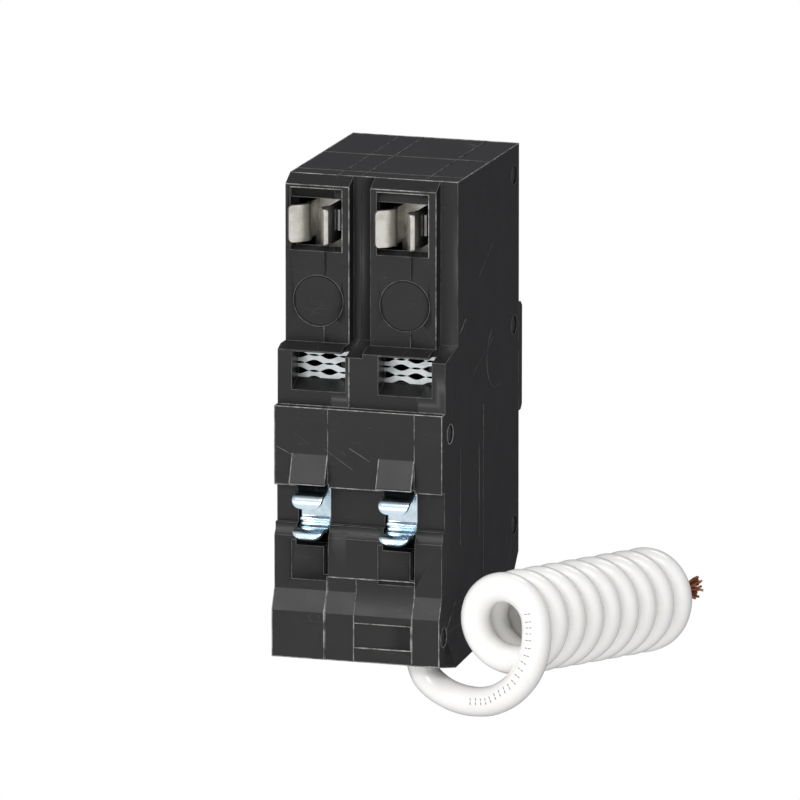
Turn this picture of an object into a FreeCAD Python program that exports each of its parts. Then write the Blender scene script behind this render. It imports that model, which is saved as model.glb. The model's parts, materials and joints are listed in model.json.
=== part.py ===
# Two-pole ground-fault circuit breaker with a coiled neutral lead.
# The frame: the origin is on the panel rail, on the floor of the rail groove and midway across the
# width. +X runs across the poles, +Y towards the handles and +Z towards the line end.
import FreeCAD, Part
import math
import os
import re
import Sketcher

Vector = FreeCAD.Vector
Rotation = FreeCAD.Rotation

doc = FreeCAD.newDocument("gfci_breaker")
sheet = doc.addObject("Spreadsheet::Sheet", "Sizes")

sizes = {
    # the case: overall sizes, walls and the steps of its rear face
    "pole_pitch": 19.05, "side_clearance": 0.65, "top_z": 69.4, "bottom_z": -32.0, "front_y": 52.8,
    "wall": 1.7, "rail_wall": 2.0, "foot_y": -4.0, "foot_height": 10.0, "foot_slope": 4.4,
    "rail_face_y": -2.0, "ledge_y": -1.2, "groove_low_z": -3.6, "groove_high_z": 4.7,
    "step_z": 21.5, "mid_face_y": 0.35, "shelf_z": 34.0, "tower_face_y": 5.9, "top_slope": 1.8,
    "top_slope_depth": 3.2, "slant_rise": 12.9, "slant_drop": 4.1, "slant_step": 3.4,
    "load_slope": 12.0, "belly_drop": 2.6, "belly_y": 8.0,
    # the seams between the moulded shells, from the left side; the third repeats the first
    "seam_in_body": 11.7, "seam_in_tower": 8.44, "seam_in_top": 10.5, "seam_two_in": 15.65,
    "seam_two_chin_in": 18.0, "chin_z": -14.6,
    # the two towers of the line end and the rebates beside them
    "tower_width": 13.9, "tower_two_back": 0.35, "tower_two_width": 14.35, "rebate_depth": 3.4,
    "rebate_low_z": 32.3, "rebate_rise": 2.0,
    # the cavities of the two poles and the bay of the circuit board
    "cavity_one_width": 10.8, "cavity_two_in": 0.85, "cavity_two_width": 11.9,
    "bay_front_y": 36.0, "bay_low_z": -16.0, "bay_high_z": 60.0,
    # the windows of the line jaws and of the vent screens, from the middle of each pole
    "pole_in": 5.75, "jaw_window_width": 11.46, "jaw_window_shift": -4.81, "jaw_sill_z": 53.5,
    "jaw_lintel_z": 67.0, "vent_width": 11.9, "vent_shift": -2.75, "vent_sill_z": 24.7,
    "vent_depth": 4.2, "vent_lintel": 1.0, "vent_frame": 2.3, "vent_rise": 1.9,
    "mesh_thickness": 0.8, "mesh_half_pitch": 3.35,
    "mesh_pitch_z": 3.5, "lens_width": 4.5, "lens_height": 1.3,
    # the rail clips, the hoods above them and the panels below them
    "clip_shift": 2.5, "clip_width": 6.6, "clip_thickness": 0.8, "clip_pocket_low": -8.2,
    "clip_pocket_high": 5.4, "clip_slot_depth": 2.6, "hood_high_z": 11.5, "hood_low_z": 5.4,
    "hood_proud": 2.1, "hood_width": 7.7, "hood_shift": 2.0, "panel_low_z": -15.5,
    "panel_high_z": -7.0, "panel_depth": 0.25,
    # round marks on the towers, and the label recess of the chin
    "mark_radius": 5.5, "mark_z": 42.9, "mark_line": 0.35, "mark_depth": 0.3, "mark_shift": 1.4,
    "label_width": 12.6, "label_rise": 3.0, "label_height": 5.3, "label_depth": 0.25,
    # the boss on the front, the handles and their tie
    "boss_low_z": 10.9, "boss_high_z": 34.3, "boss_proud": 5.0, "boss_inset": 0.8,
    "handle_setback": 5.8, "hub_radius": 5.0, "handle_width": 6.0, "handle_thickness": 5.5,
    "handle_reach": 24.7, "handle_gap": 0.4, "slot_half": 7.6, "tie_depth": 6.0, "tie_half": 4.2,
    "trunnion_radius": 1.6, "running_gap": 0.05, "trunnion_hold": 0.9,
    # the line jaws, with their backing springs and the fixed contacts
    "jaw_low_z": 55.3, "jaw_height": 8.1, "jaw_metal": 1.1, "jaw_depth": 9.1, "jaw_tab_z": 44.0,
    "jaw_tab_half": 2.6, "spring_metal": 0.5, "contact_z": 47.0, "contact_radius": 2.1,
    "contact_thickness": 1.2,
    # the contact arms
    "arm_y": 34.0, "arm_z": 28.0, "arm_width": 2.6, "arm_swing": 10.2, "arm_thickness": 2.2,
    "arm_pin_radius": 1.2, "touch_gap": 0.12,
    # arc plates, cradles, bimetals, yokes and armatures
    "arc_low_z": 36.5, "arc_pitch": 2.6, "arc_metal": 0.8, "arc_half": 3.4, "arc_rear_y": 8.4,
    "arc_front_y": 14.2, "cradle_y": 22.0, "cradle_z": 14.0, "cradle_width": 1.6,
    "cradle_pin_radius": 1.1, "latch_gap": 1.1, "bimetal_y": 28.0, "bimetal_metal": 0.9,
    "bimetal_half": 2.3, "bimetal_high_z": 10.4, "bimetal_low_z": -12.0, "yoke_half": 3.6,
    "yoke_metal": 0.8, "yoke_front_y": 30.2, "yoke_rear_y": 26.2, "yoke_high_z": 9.4,
    "armature_gap": 1.2, "armature_metal": 0.9,
    # the load lugs at the bottom end
    "lug_setback": 14.1, "lug_gap": 0.05, "lug_depth": 11.4, "lug_rise": 4.6, "lug_height": 8.8,
    "lug_metal": 1.3, "lug_front": 2.3, "screw_radius": 2.0, "screw_head": 3.0,
    "screw_head_depth": 2.2, "screw_length": 6.2, "wire_entry_radius": 3.2,
    # the ground-fault unit: trip bar, solenoid, sensing core, board and test button
    "bar_y": 38.0, "bar_z": 9.6, "bar_radius": 1.6, "coil_y": 38.0, "coil_low_z": -13.6,
    "coil_high_z": -2.6,
    "coil_radius": 4.0, "plunger_radius": 1.4, "plunger_high_z": 4.4, "core_radius": 4.8,
    "core_hole": 2.9, "core_height": 6.0, "core_y": 18.0, "core_z": -13.0, "board_metal": 1.5,
    "board_gap": 0.5, "board_front_y": 34.6, "board_rear_y": 13.0, "board_low_z": -13.0,
    "board_high_z": 57.0, "chip_depth": 1.3, "button_z": -6.0, "button_radius": 2.5,
    "button_proud": 1.8, "button_flange": 3.4, "button_travel": 1.2,
    # rivets
    "rivet_radius": 1.2, "rivet_head": 2.1, "rivet_recess": 0.9, "rivet_head_depth": 0.6,
    # the neutral lead: wire size, exit and coil
    "wire_radius": 3.15, "exit_in": 6.8, "exit_y": 4.0, "exit_depth": 4.5, "exit_drop": 2.4,
    "coil_turns": 8.5,
    "coil_mean_radius": 8.0, "coil_pitch": 6.35, "coil_start_x": 33.35, "coil_start_y": -7.7,
    "coil_start_z": -21.0, "strand_radius": 1.75, "strand_length": 6.2, "strand_set_in": 3.0,
}
# places that follow from the sizes
derived = {
    "case_width": "2 * (pole_pitch - side_clearance)", "first_pole_x": "pole_in - case_width / 2",
    "foot_top_z": "bottom_z + foot_height", "foot_slope_z": "foot_top_z + foot_slope",
    "load_front_y": "front_y - load_slope", "rebate_y": "tower_face_y + rebate_depth",
    "seam_one_low": "seam_in_body - case_width / 2",
    "seam_one_tower": "seam_in_tower - case_width / 2",
    "seam_one_top": "seam_in_top - case_width / 2", "seam_two": "seam_two_in - case_width / 2",
    "seam_two_chin": "seam_two_chin_in - case_width / 2",
    "seam_three_low": "seam_one_low + pole_pitch",
    "seam_three_tower": "seam_one_tower + pole_pitch", "seam_three_top": "seam_one_top + pole_pitch",
    "tower_one_right": "tower_width - case_width / 2",
    "tower_two_left": "pole_pitch - tower_two_back - case_width / 2",
    "tower_two_right": "tower_two_left + tower_two_width",
    "cavity_one_right": "wall + cavity_one_width - case_width / 2",
    "cavity_two_left": "pole_pitch + cavity_two_in - case_width / 2",
    "cavity_two_right": "cavity_two_left + cavity_two_width",
    "label_low_z": "bottom_z + label_rise", "vent_high_z": "shelf_z - vent_lintel",
    "handle_y": "front_y - handle_setback",
    "handle_z": "(boss_low_z + boss_high_z) / 2", "handle_tip_y": "handle_y + handle_reach",
    "jaw_high_z": "jaw_low_z + jaw_height", "jaw_back_y": "tower_face_y + jaw_depth",
    "latch_y": "bar_y - 0.7 - latch_gap", "armature_y": "yoke_front_y + armature_gap",
    "lug_y": "front_y - lug_setback - wall", "lug_half": "pole_in - wall - lug_gap",
    "lug_low_z": "bottom_z + lug_rise",
    "lug_high_z": "lug_low_z + lug_height", "coil_x": "first_pole_x + pole_pitch",
    "board_x": "case_width / 2 - wall - board_gap - board_metal", "exit_x": "case_width / 2 - exit_in",
    "exit_inner_z": "bottom_z + exit_depth",
}
for row, (alias, size) in enumerate(sizes.items(), start=1):
    sheet.set(f"A{row}", alias)
    sheet.set(f"B{row}", str(size))
    sheet.setAlias(f"B{row}", alias)
doc.recompute()

parts = []


def bound(formula):
    # spells a formula out in the sheet's own cells
    def cell(word):
        name = word[0]
        if name in derived:
            return "(" + bound(derived[name]) + ")"
        return "Sizes." + name if name in sizes else name

    return re.sub(r"[a-z][a-z_]*[a-z]", cell, str(formula))


def value(formula):
    # the present value of a formula, as a plain number
    result = sheet.evalExpression(bound(formula))
    return float(getattr(result, "Value", result))


def keep(solid):
    parts.append(solid)
    return solid


def box(name, across, depth, height):
    # a block between pairs of formulas along X, Y and Z
    block = doc.addObject("Part::Box", name)
    for size, axis, (low, high) in (
        ("Length", "x", across), ("Width", "y", depth), ("Height", "z", height),
    ):
        block.setExpression(size, bound(f"({high}) - ({low})"))
        block.setExpression("Placement.Base." + axis, bound(low))
    return block


turn_to = {
    "x": Rotation(Vector(0, 1, 0), 90),
    "y": Rotation(Vector(1, 0, 0), -90),
    "z": Rotation(),
}


def rod(name, axis, radius, start, length):
    # a round bar along a row axis, from the centre of its low end
    bar = doc.addObject("Part::Cylinder", name)
    bar.Placement = FreeCAD.Placement(Vector(), turn_to[axis])
    bar.setExpression("Radius", bound(radius))
    bar.setExpression("Height", bound(length))
    for letter, formula in zip("xyz", start):
        bar.setExpression("Placement.Base." + letter, bound(formula))
    return bar


def prism(name, plane, outline, low, high):
    # a padded sketch: outline pairs lie in the plane, low and high along its third axis
    body = doc.addObject("PartDesign::Body", name)
    sketch = body.newObject("Sketcher::SketchObject", name + "_outline")
    origin = [face for face in body.Origin.OriginFeatures if face.Role == plane + "_Plane"][0]
    sketch.AttachmentSupport = [(origin, "")]
    sketch.MapMode = "FlatFace"
    corners = [Vector(value(a), value(b), 0) for a, b in outline]
    count = len(corners)
    for index in range(count):
        edge = Part.LineSegment(corners[index], corners[(index + 1) % count])
        sketch.addGeometry(edge, False)
    for index in range(count):
        sketch.addConstraint(Sketcher.Constraint("Coincident", index, 2, (index + 1) % count, 1))
    for index, pair in enumerate(outline):
        for kind, formula, size in zip(("DistanceX", "DistanceY"), pair, corners[index]):
            place = sketch.addConstraint(Sketcher.Constraint(kind, -1, 1, index, 1, size))
            sketch.setExpression(f"Constraints[{place}]", bound(formula))
    offset = f"-({high})" if plane == "XZ" else low
    sketch.setExpression("AttachmentOffset.Base.z", bound(offset))
    pad = body.newObject("PartDesign::Pad", name + "_pad")
    pad.Profile = sketch
    pad.setExpression("Length", bound(f"({high}) - ({low})"))
    sketch.Visibility = False
    return body


def join(name, *solids):
    whole = doc.addObject("Part::MultiFuse", name)
    whole.Shapes = list(solids)
    whole.Refine = True
    return whole


def group(name, *solids):
    # separate solids that share one node
    whole = doc.addObject("Part::Compound", name)
    whole.Links = list(solids)
    return whole


def less(name, base, *tools):
    # the base with every tool cut out of it
    tool = tools[0] if len(tools) == 1 else join(name + "_cutters", *tools)
    result = doc.addObject("Part::Cut", name)
    result.Base = base
    result.Tool = tool
    result.Refine = True
    return result


def common(name, base, tool):
    result = doc.addObject("Part::Common", name)
    result.Base = base
    result.Tool = tool
    result.Refine = True
    return result


def strip(name, plane, line, metal, low, high):
    # bent sheet metal: a mitred band of the given thickness about a line, extruded sideways
    points = [(value(a), value(b)) for a, b in line]
    half = value(metal) / 2
    normals = []
    for (ax, ay), (bx, by) in zip(points, points[1:]):
        run = math.hypot(bx - ax, by - ay)
        normals.append(((ay - by) / run, (bx - ax) / run))
    sides = ([], [])
    for index, (px, py) in enumerate(points):
        before = normals[max(index - 1, 0)]
        after = normals[min(index, len(normals) - 1)]
        scale = half * 2 / ((before[0] + after[0]) ** 2 + (before[1] + after[1]) ** 2)
        step = ((before[0] + after[0]) * scale, (before[1] + after[1]) * scale)
        sides[0].append((px + step[0], py + step[1]))
        sides[1].append((px - step[0], py - step[1]))
    ring = sides[0] + sides[1][::-1]
    start = value(low)
    reach = value(high) - start
    place = {
        "XY": lambda a, b: Vector(a, b, start),
        "YZ": lambda a, b: Vector(start, a, b),
        "XZ": lambda a, b: Vector(a, start, b),
    }[plane]
    along = {"XY": Vector(0, 0, reach), "YZ": Vector(reach, 0, 0), "XZ": Vector(0, reach, 0)}[plane]
    wire = Part.makePolygon([place(a, b) for a, b in ring + ring[:1]])
    piece = doc.addObject("Part::Feature", name)
    piece.Shape = Part.Face(wire).extrude(along)
    return piece


sides = ("left", "right")
pole_x = [f"(first_pole_x + {index} * pole_pitch)" for index in range(2)]
bay_left = ["(wall - case_width / 2)", "cavity_two_left"]
bay_right = ["cavity_one_right", "cavity_two_right"]

# the case: one outline, split into four shells

front_low_z = "(bottom_z + slant_rise)"
load_front_z = "(bottom_z - 1)"
outer_line = [
    ("foot_y", "bottom_z"), ("foot_y", "foot_top_z"), ("rail_face_y", "foot_slope_z"),
    ("rail_face_y", "groove_low_z - 2.6"), ("ledge_y", "groove_low_z - 1.5"),
    ("ledge_y", "groove_low_z"), ("0", "groove_low_z"), ("0", "groove_high_z"),
    ("rail_face_y", "groove_high_z"), ("rail_face_y", "step_z"), ("mid_face_y", "step_z"),
    ("mid_face_y", "shelf_z - 0.8"), ("mid_face_y + 2", "shelf_z"), ("tower_face_y", "shelf_z"),
    ("tower_face_y", "top_z - top_slope"), ("tower_face_y + top_slope_depth", "top_z"),
    ("front_y", "top_z"), ("front_y", front_low_z),
    ("front_y - slant_step", front_low_z + " - slant_drop"), ("load_front_y", load_front_z),
    ("load_front_y / 2", load_front_z + " - 0.7"), ("belly_y", "bottom_z - belly_drop"),
    ("foot_y + 2.7", "bottom_z - 0.6"),
]
inner_line = [
    ("rail_wall", "bottom_z + wall"), ("rail_wall", "shelf_z - wall"),
    ("tower_face_y + wall", "shelf_z - wall"), ("tower_face_y + wall", "top_z - top_slope - wall"),
    ("tower_face_y + wall + top_slope_depth", "top_z - wall"), ("front_y - wall", "top_z - wall"),
    ("front_y - wall", front_low_z + " + 0.6"),
    ("front_y - slant_step - wall", front_low_z + " - slant_drop + 0.8"),
    ("load_front_y - 1", "bottom_z + wall"),
]
half = "case_width / 2"
block = join(
    "case_block",
    prism("case_outline", "YZ", outer_line, "-" + half, half),
    prism(
        "boss", "YZ",
        [
            ("front_y - wall", "boss_low_z"), ("front_y + boss_proud - 1", "boss_low_z"),
            ("front_y + boss_proud", "boss_low_z + 1"), ("front_y + boss_proud", "boss_high_z - 1"),
            ("front_y + boss_proud - 1", "boss_high_z"), ("front_y - wall", "boss_high_z"),
        ],
        f"boss_inset - {half}", f"{half} - boss_inset",
    ),
    *[
        prism(
            f"hood_{side}", "YZ",
            [
                ("0.2", "hood_low_z"), ("rail_face_y - hood_proud", "hood_low_z"),
                ("rail_face_y - hood_proud", "hood_low_z + 0.3"), ("rail_face_y", "hood_high_z"),
                ("0.2", "hood_high_z"),
            ],
            f"{x} + hood_shift - hood_width / 2", f"{x} + hood_shift + hood_width / 2",
        )
        for side, x in zip(sides, pole_x)
    ],
)

cavities = [
    prism("cavity_one", "YZ", inner_line, bay_left[0], bay_right[0]),
    prism("cavity_two", "YZ", inner_line, bay_left[1], bay_right[1]),
    box(
        "board_bay", ("cavity_two_right - 0.5", f"{half} - wall"),
        ("rebate_y + wall", "bay_front_y"), ("bay_low_z", "bay_high_z"),
    ),
]
rebate_line = [
    ("foot_y - 5", "rebate_low_z"), ("mid_face_y", "rebate_low_z"),
    ("rebate_y", "rebate_low_z + rebate_rise"), ("rebate_y", "top_z + 5"), ("foot_y - 5", "top_z + 5"),
]
rebates = [
    prism("rebate_middle", "YZ", rebate_line, "tower_one_right", "tower_two_left"),
    prism("rebate_right", "YZ", rebate_line, "tower_two_right", half + " + 1"),
]

openings = []
for side, x, left, right in zip(sides, pole_x, bay_left, bay_right):
    window = f"{x} + jaw_window_shift"
    openings.append(prism(
        f"jaw_window_{side}", "YZ",
        [
            ("tower_face_y - 2", "jaw_sill_z - 0.6"), ("tower_face_y", "jaw_sill_z"),
            ("tower_face_y + wall + 2.4", "jaw_sill_z + 2.2"),
            ("tower_face_y + wall + 2.4", "jaw_lintel_z - 2.6"),
            ("tower_face_y + 0.9", "jaw_lintel_z - 2.2"), ("tower_face_y + 0.9", "jaw_lintel_z"),
            ("tower_face_y - 2", "jaw_lintel_z"),
        ],
        window, window + " + jaw_window_width",
    ))
    vent = f"{x} + vent_shift"
    openings.append(prism(
        f"vent_window_{side}", "YZ",
        [
            ("mid_face_y - 2", "vent_sill_z"), ("mid_face_y", "vent_sill_z"),
            ("mid_face_y + vent_depth", "vent_sill_z + vent_rise"),
            ("mid_face_y + vent_depth + mesh_thickness", "vent_sill_z + vent_rise"),
            ("mid_face_y + vent_depth + mesh_thickness", "vent_high_z"),
            ("mid_face_y - 2", "vent_high_z"),
        ],
        vent, vent + " + vent_width",
    ))
    pocket = f"{x} + clip_shift"
    openings.append(box(
        f"clip_pocket_{side}", (f"{pocket} - clip_width / 2 - 0.3", f"{pocket} + clip_width / 2 + 0.3"),
        ("foot_y - 4", "clip_slot_depth"), ("clip_pocket_low", "clip_pocket_high"),
    ))
    hood = f"{x} + hood_shift"
    openings.append(box(
        f"clip_panel_{side}", (f"{hood} - hood_width / 2 - 0.2", f"{hood} + hood_width / 2 + 0.2"),
        ("foot_y - 1", "rail_face_y + panel_depth"), ("panel_low_z", "panel_high_z"),
    ))
    openings.append(box(
        f"clip_key_{side}", (f"{hood} + hood_width / 2 - 0.9", f"{hood} + hood_width / 2 + 0.2"),
        ("foot_y - 1", "rail_face_y + 1.8"), ("panel_low_z + 1.3", "panel_high_z - 1"),
    ))
    mark = f"{x} + mark_shift"
    mark_start = (mark, "tower_face_y - 1", "mark_z")
    openings.append(less(
        f"round_mark_{side}",
        rod(f"mark_outer_{side}", "y", "mark_radius", mark_start, "1 + mark_depth"),
        rod(f"mark_inner_{side}", "y", "mark_radius - mark_line", mark_start, "1 + mark_depth"),
    ))
    openings.append(box(
        f"handle_slot_{side}",
        (f"{x} - handle_width / 2 - handle_gap", f"{x} + handle_width / 2 + handle_gap"),
        ("front_y - wall - 1", "front_y + boss_proud + 1"),
        ("handle_z - slot_half", "handle_z + slot_half"),
    ))
    openings.append(rod(
        f"wire_entry_{side}", "z", "wire_entry_radius", (x, "lug_y", "bottom_z - 6"), "8 + wall",
    ))
    openings.append(rod(
        f"screw_access_{side}", "y", "screw_head + 0.5",
        (x, "lug_y + lug_depth / 2 + 1", "(lug_low_z + lug_high_z) / 2"), "12",
    ))
openings.append(box(
    "chin_label", ("seam_two_chin", "seam_two_chin + label_width"),
    ("foot_y - 1", "foot_y + label_depth"), ("label_low_z", "label_low_z + label_height"),
))
openings.append(rod(
    "button_hole", "y", "button_radius + running_gap", ("coil_x", "front_y - wall - 1", "button_z"),
    "wall + 2",
))
openings.append(rod(
    "lead_exit", "z", "wire_radius", ("exit_x", "exit_y", "bottom_z - 6"),
    "exit_inner_z - bottom_z + 6",
))
openings.append(rod(
    "lead_flare", "z", "wire_radius + 0.9", ("exit_x", "exit_y", "bottom_z - 6"), "7.2",
))


def trunnion(name, index, radius, across_y, across_z, gap):
    # a pivot bar from wall to wall of one pole, or the hole that it runs in
    start = f"({bay_left[index]} - trunnion_hold - {gap})"
    stop = f"({bay_right[index]} + trunnion_hold + {gap})"
    return rod(name, "x", f"{radius} + {gap}", (start, across_y, across_z), f"{stop} - {start}")


for index, side in enumerate(sides):
    for pivot, radius, y, z in (
        ("handle", "trunnion_radius", "handle_y", "handle_z"), ("arm", "arm_pin_radius", "arm_y", "arm_z"),
        ("cradle", "cradle_pin_radius", "cradle_y", "cradle_z"),
    ):
        openings.append(trunnion(f"{pivot}_bearing_{side}", index, radius, y, z, "running_gap"))
bar_start = f"({bay_left[0]} - trunnion_hold)"
bar_stop = "(cavity_two_right + trunnion_hold)"
openings.append(rod(
    "bar_bearing", "x", "bar_radius + running_gap", (bar_start + " - running_gap", "bar_y", "bar_z"),
    f"{bar_stop} - {bar_start} + 2 * running_gap",
))

rivet_spots = (
    ("front_y - 3.3", "top_z - 6.2"), ("front_y - 3.3", "boss_high_z - 3.5"),
    ("front_y - 2.9", "-12.8"), ("rail_wall + 1.9", "16.6"), ("foot_y + 3.3", "bottom_z + 5.7"),
)
rivets = []
for number, (y, z) in enumerate(rivet_spots, start=1):
    openings.append(rod(
        f"rivet_hole_{number}", "x", "rivet_radius", (f"-{half} - 1", y, z), "case_width + 2",
    ))
    shank = rod(
        f"rivet_shank_{number}", "x", "rivet_radius", (f"rivet_recess - {half}", y, z),
        "case_width - 2 * rivet_recess",
    )
    pieces = [shank]
    for word, start, head in (
        ("left", f"-{half} - 1", f"rivet_recess - {half} - rivet_head_depth"),
        ("right", f"{half} - rivet_recess", f"{half} - rivet_recess"),
    ):
        openings.append(rod(
            f"rivet_recess_{word}_{number}", "x", "rivet_head", (start, y, z), "1 + rivet_recess",
        ))
        pieces.append(rod(
            f"rivet_head_{word}_{number}", "x", "rivet_head - 0.15", (head, y, z),
            "rivet_head_depth",
        ))
    rivets.append(join(f"rivet_{number}", *pieces))

# each vent screen stands in a solid frame that reaches back from the wall
vent_frames = [
    box(
        f"vent_frame_{side}",
        (f"{x} + vent_shift - vent_frame", f"{x} + vent_shift + vent_width + vent_frame"),
        ("1", "mid_face_y + vent_depth + mesh_thickness"), ("vent_sill_z - 1.2", "shelf_z - 0.9"),
    )
    for side, x in zip(sides, pole_x)
]
hollow = less("hollow_case", block, *cavities)
framed = join("framed_case", hollow, *vent_frames)
case = less("whole_case", framed, join("case_cutters", *rebates, *openings))

seam_low, seam_high = "(bottom_z - 9)", "(top_z + 9)"
seam_one = [
    ("seam_one_low", seam_low), ("seam_one_low", "shelf_z - 2"), ("seam_one_tower", "shelf_z - 2"),
    ("seam_one_tower", "jaw_sill_z"), ("seam_one_top", "jaw_sill_z"), ("seam_one_top", seam_high),
]
seam_two = [
    ("seam_two_chin", seam_low), ("seam_two_chin", "chin_z"), ("seam_two", "chin_z"),
    ("seam_two", seam_high),
]
seam_three = [
    ("seam_three_low", seam_low), ("seam_three_low", "shelf_z - 2"),
    ("seam_three_tower", "shelf_z - 2"), ("seam_three_tower", "jaw_sill_z"),
    ("seam_three_top", "jaw_sill_z"), ("seam_three_top", seam_high),
]
left_edge = [(f"-{half} - 9", seam_low), (f"-{half} - 9", seam_high)]
right_edge = [(half + " + 9", seam_low), (half + " + 9", seam_high)]
seams = [left_edge, seam_one, seam_two, seam_three, right_edge]
shell_names = ("left_base", "left_cover", "right_base", "right_cover")
for name, near, far in zip(shell_names, seams, seams[1:]):
    region = prism(
        name + "_region", "XZ", near + far[::-1], "foot_y - 9", "front_y + boss_proud + 9",
    )
    keep(common(name, case, region))
keep(group("case_rivets", *rivets))

# per pole: line jaw, contacts, mechanism, load lug, vent screen and rail clip

for index, (side, x) in enumerate(zip(sides, pole_x)):
    left_blade = strip(
        f"left_blade_{side}", "XY",
        [
            (f"{x} - 4.7", "3.9"), (f"{x} - 1.9", "5.9"), (f"{x} - 1", "7.6"),
            (f"{x} - 1.7", "9.4"), (f"{x} - 1.7", "jaw_back_y + 0.9"),
        ],
        "jaw_metal", "jaw_low_z", "jaw_high_z",
    )
    right_blade = strip(
        f"right_blade_{side}", "XY",
        [
            (f"{x} + 4.3", "4.3"), (f"{x} + 2.6", "6.6"), (f"{x} + 3.8", "8.6"),
            (f"{x} + 3.8", "jaw_back_y + 0.9"),
        ],
        "jaw_metal", "jaw_low_z - 0.4", "jaw_high_z - 0.4",
    )
    web = box(
        f"jaw_web_{side}", (f"{x} - 1.7 - jaw_metal / 2", f"{x} + 3.8 + jaw_metal / 2"),
        ("jaw_back_y", "jaw_back_y + jaw_metal"), ("jaw_low_z", "jaw_high_z - 0.4"),
    )
    tab = box(
        f"jaw_tab_{side}", (f"{x} - jaw_tab_half", f"{x} + jaw_tab_half"),
        ("jaw_back_y", "jaw_back_y + jaw_metal"), ("jaw_tab_z", "jaw_low_z + 1"),
    )
    keep(join(f"line_jaw_{side}", left_blade, right_blade, web, tab))
    jaw_out = "(jaw_metal / 2 + spring_metal / 2 + 0.02)"
    keep(strip(
        f"jaw_spring_{side}", "XY",
        [
            (f"{x} - 1.7 - {jaw_out}", "10.2"),
            (f"{x} - 1.7 - {jaw_out}", "jaw_back_y + jaw_metal + spring_metal / 2 + 0.02"),
            (f"{x} + 3.8 + {jaw_out}", "jaw_back_y + jaw_metal + spring_metal / 2 + 0.02"),
            (f"{x} + 3.8 + {jaw_out}", "10.2"),
        ],
        "spring_metal", "jaw_low_z + 2", "jaw_high_z - 1.6",
    ))
    contact_y = "(jaw_back_y + jaw_metal)"
    keep(rod(
        f"fixed_contact_{side}", "y", "contact_radius", (x, contact_y, "contact_z"),
        "contact_thickness",
    ))

    # the arm is drawn closed, about its own pivot, and then swung open
    reach_y = f"({contact_y} + 2 * contact_thickness + touch_gap - arm_y)"
    reach_z = "(contact_z - arm_z)"
    arm = join(
        f"contact_arm_{side}",
        prism(
            f"arm_bar_{side}", "YZ",
            [
                ("2.2", "-1.6"), ("2.2", "1.6"), (reach_y + " + arm_thickness", reach_z + " + 2"),
                (reach_y, reach_z + " + 2"), (reach_y, reach_z + " - 2.4"), ("-2", "-1.6"),
            ],
            "-arm_width / 2", "arm_width / 2",
        ),
        rod(
            f"arm_trunnion_{side}", "x", "arm_pin_radius",
            (f"{bay_left[index]} - trunnion_hold - {x}", "0", "0"),
            f"{bay_right[index]} - {bay_left[index]} + 2 * trunnion_hold",
        ),
    )
    tip = rod(
        f"moving_contact_{side}", "y", "contact_radius - 0.2",
        ("0", reach_y + " - contact_thickness", reach_z), "contact_thickness",
    )
    for piece in (arm, group(f"contact_tip_{side}", tip)):
        piece.Placement = FreeCAD.Placement(Vector(), Rotation(Vector(-1, 0, 0), 10))
        piece.setExpression("Placement.Rotation.Angle", bound("arm_swing * 1 deg"))
        piece.setExpression("Placement.Base.x", bound(x))
        piece.setExpression("Placement.Base.y", bound("arm_y"))
        piece.setExpression("Placement.Base.z", bound("arm_z"))
        keep(piece)

    plates = [
        box(
            f"arc_plate_{side}_{level}", (f"{x} - arc_half", f"{x} + arc_half"),
            ("arc_rear_y", "arc_front_y"),
            (f"arc_low_z + {level} * arc_pitch", f"arc_low_z + {level} * arc_pitch + arc_metal"),
        )
        for level in range(3)
    ]
    keep(group(f"arc_plates_{side}", *plates))

    keep(join(
        f"cradle_{side}",
        prism(
            f"cradle_plate_{side}", "YZ",
            [
                ("cradle_y - 2", "cradle_z - 1.8"), ("latch_y - 3", "cradle_z - 1.4"),
                ("latch_y", "cradle_z - 0.4"), ("latch_y", "cradle_z + 0.8"),
                ("latch_y - 4", "cradle_z + 1.2"), ("cradle_y + 3", "cradle_z + 3.4"),
                ("cradle_y - 2", "cradle_z + 2"),
            ],
            f"{x} - cradle_width / 2", f"{x} + cradle_width / 2",
        ),
        trunnion(f"cradle_trunnion_{side}", index, "cradle_pin_radius", "cradle_y", "cradle_z", "0"),
    ))
    keep(less(
        f"main_spring_{side}",
        rod(f"spring_outer_{side}", "z", "1.4", (f"{x} + 3.2", "cradle_y + 4", "cradle_z + 6"), "12"),
        rod(f"spring_inner_{side}", "z", "0.9", (f"{x} + 3.2", "cradle_y + 4", "cradle_z + 6"), "12"),
    ))
    keep(strip(
        f"bimetal_{side}", "YZ",
        [
            ("bimetal_y", "bimetal_high_z"), ("bimetal_y", "bimetal_low_z"),
            ("lug_y - lug_depth / 2 - bimetal_metal / 2", "bimetal_low_z - 5"),
            ("lug_y - lug_depth / 2 - bimetal_metal / 2", "lug_low_z + 3"),
        ],
        "bimetal_metal", f"{x} - bimetal_half", f"{x} + bimetal_half",
    ))
    keep(less(
        f"magnet_yoke_{side}",
        box(
            f"yoke_block_{side}", (f"{x} - yoke_half", f"{x} + yoke_half"),
            ("yoke_rear_y", "yoke_front_y"), ("0", "yoke_high_z"),
        ),
        box(
            f"yoke_channel_{side}", (f"{x} - yoke_half + yoke_metal", f"{x} + yoke_half - yoke_metal"),
            ("bimetal_y - bimetal_metal / 2", "yoke_front_y + 1"), ("-1", "yoke_high_z + 1"),
        ),
    ))
    keep(join(
        f"armature_{side}",
        box(
            f"armature_plate_{side}", (f"{x} - yoke_half", f"{x} + yoke_half"),
            ("armature_y", "armature_y + armature_metal"), ("0.4", "yoke_high_z + 0.6"),
        ),
        rod(
            f"armature_knuckle_{side}", "x", "armature_metal * 0.7",
            (f"{x} - yoke_half", "armature_y + armature_metal / 2", "0.4"), "2 * yoke_half",
        ),
    ))

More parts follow.
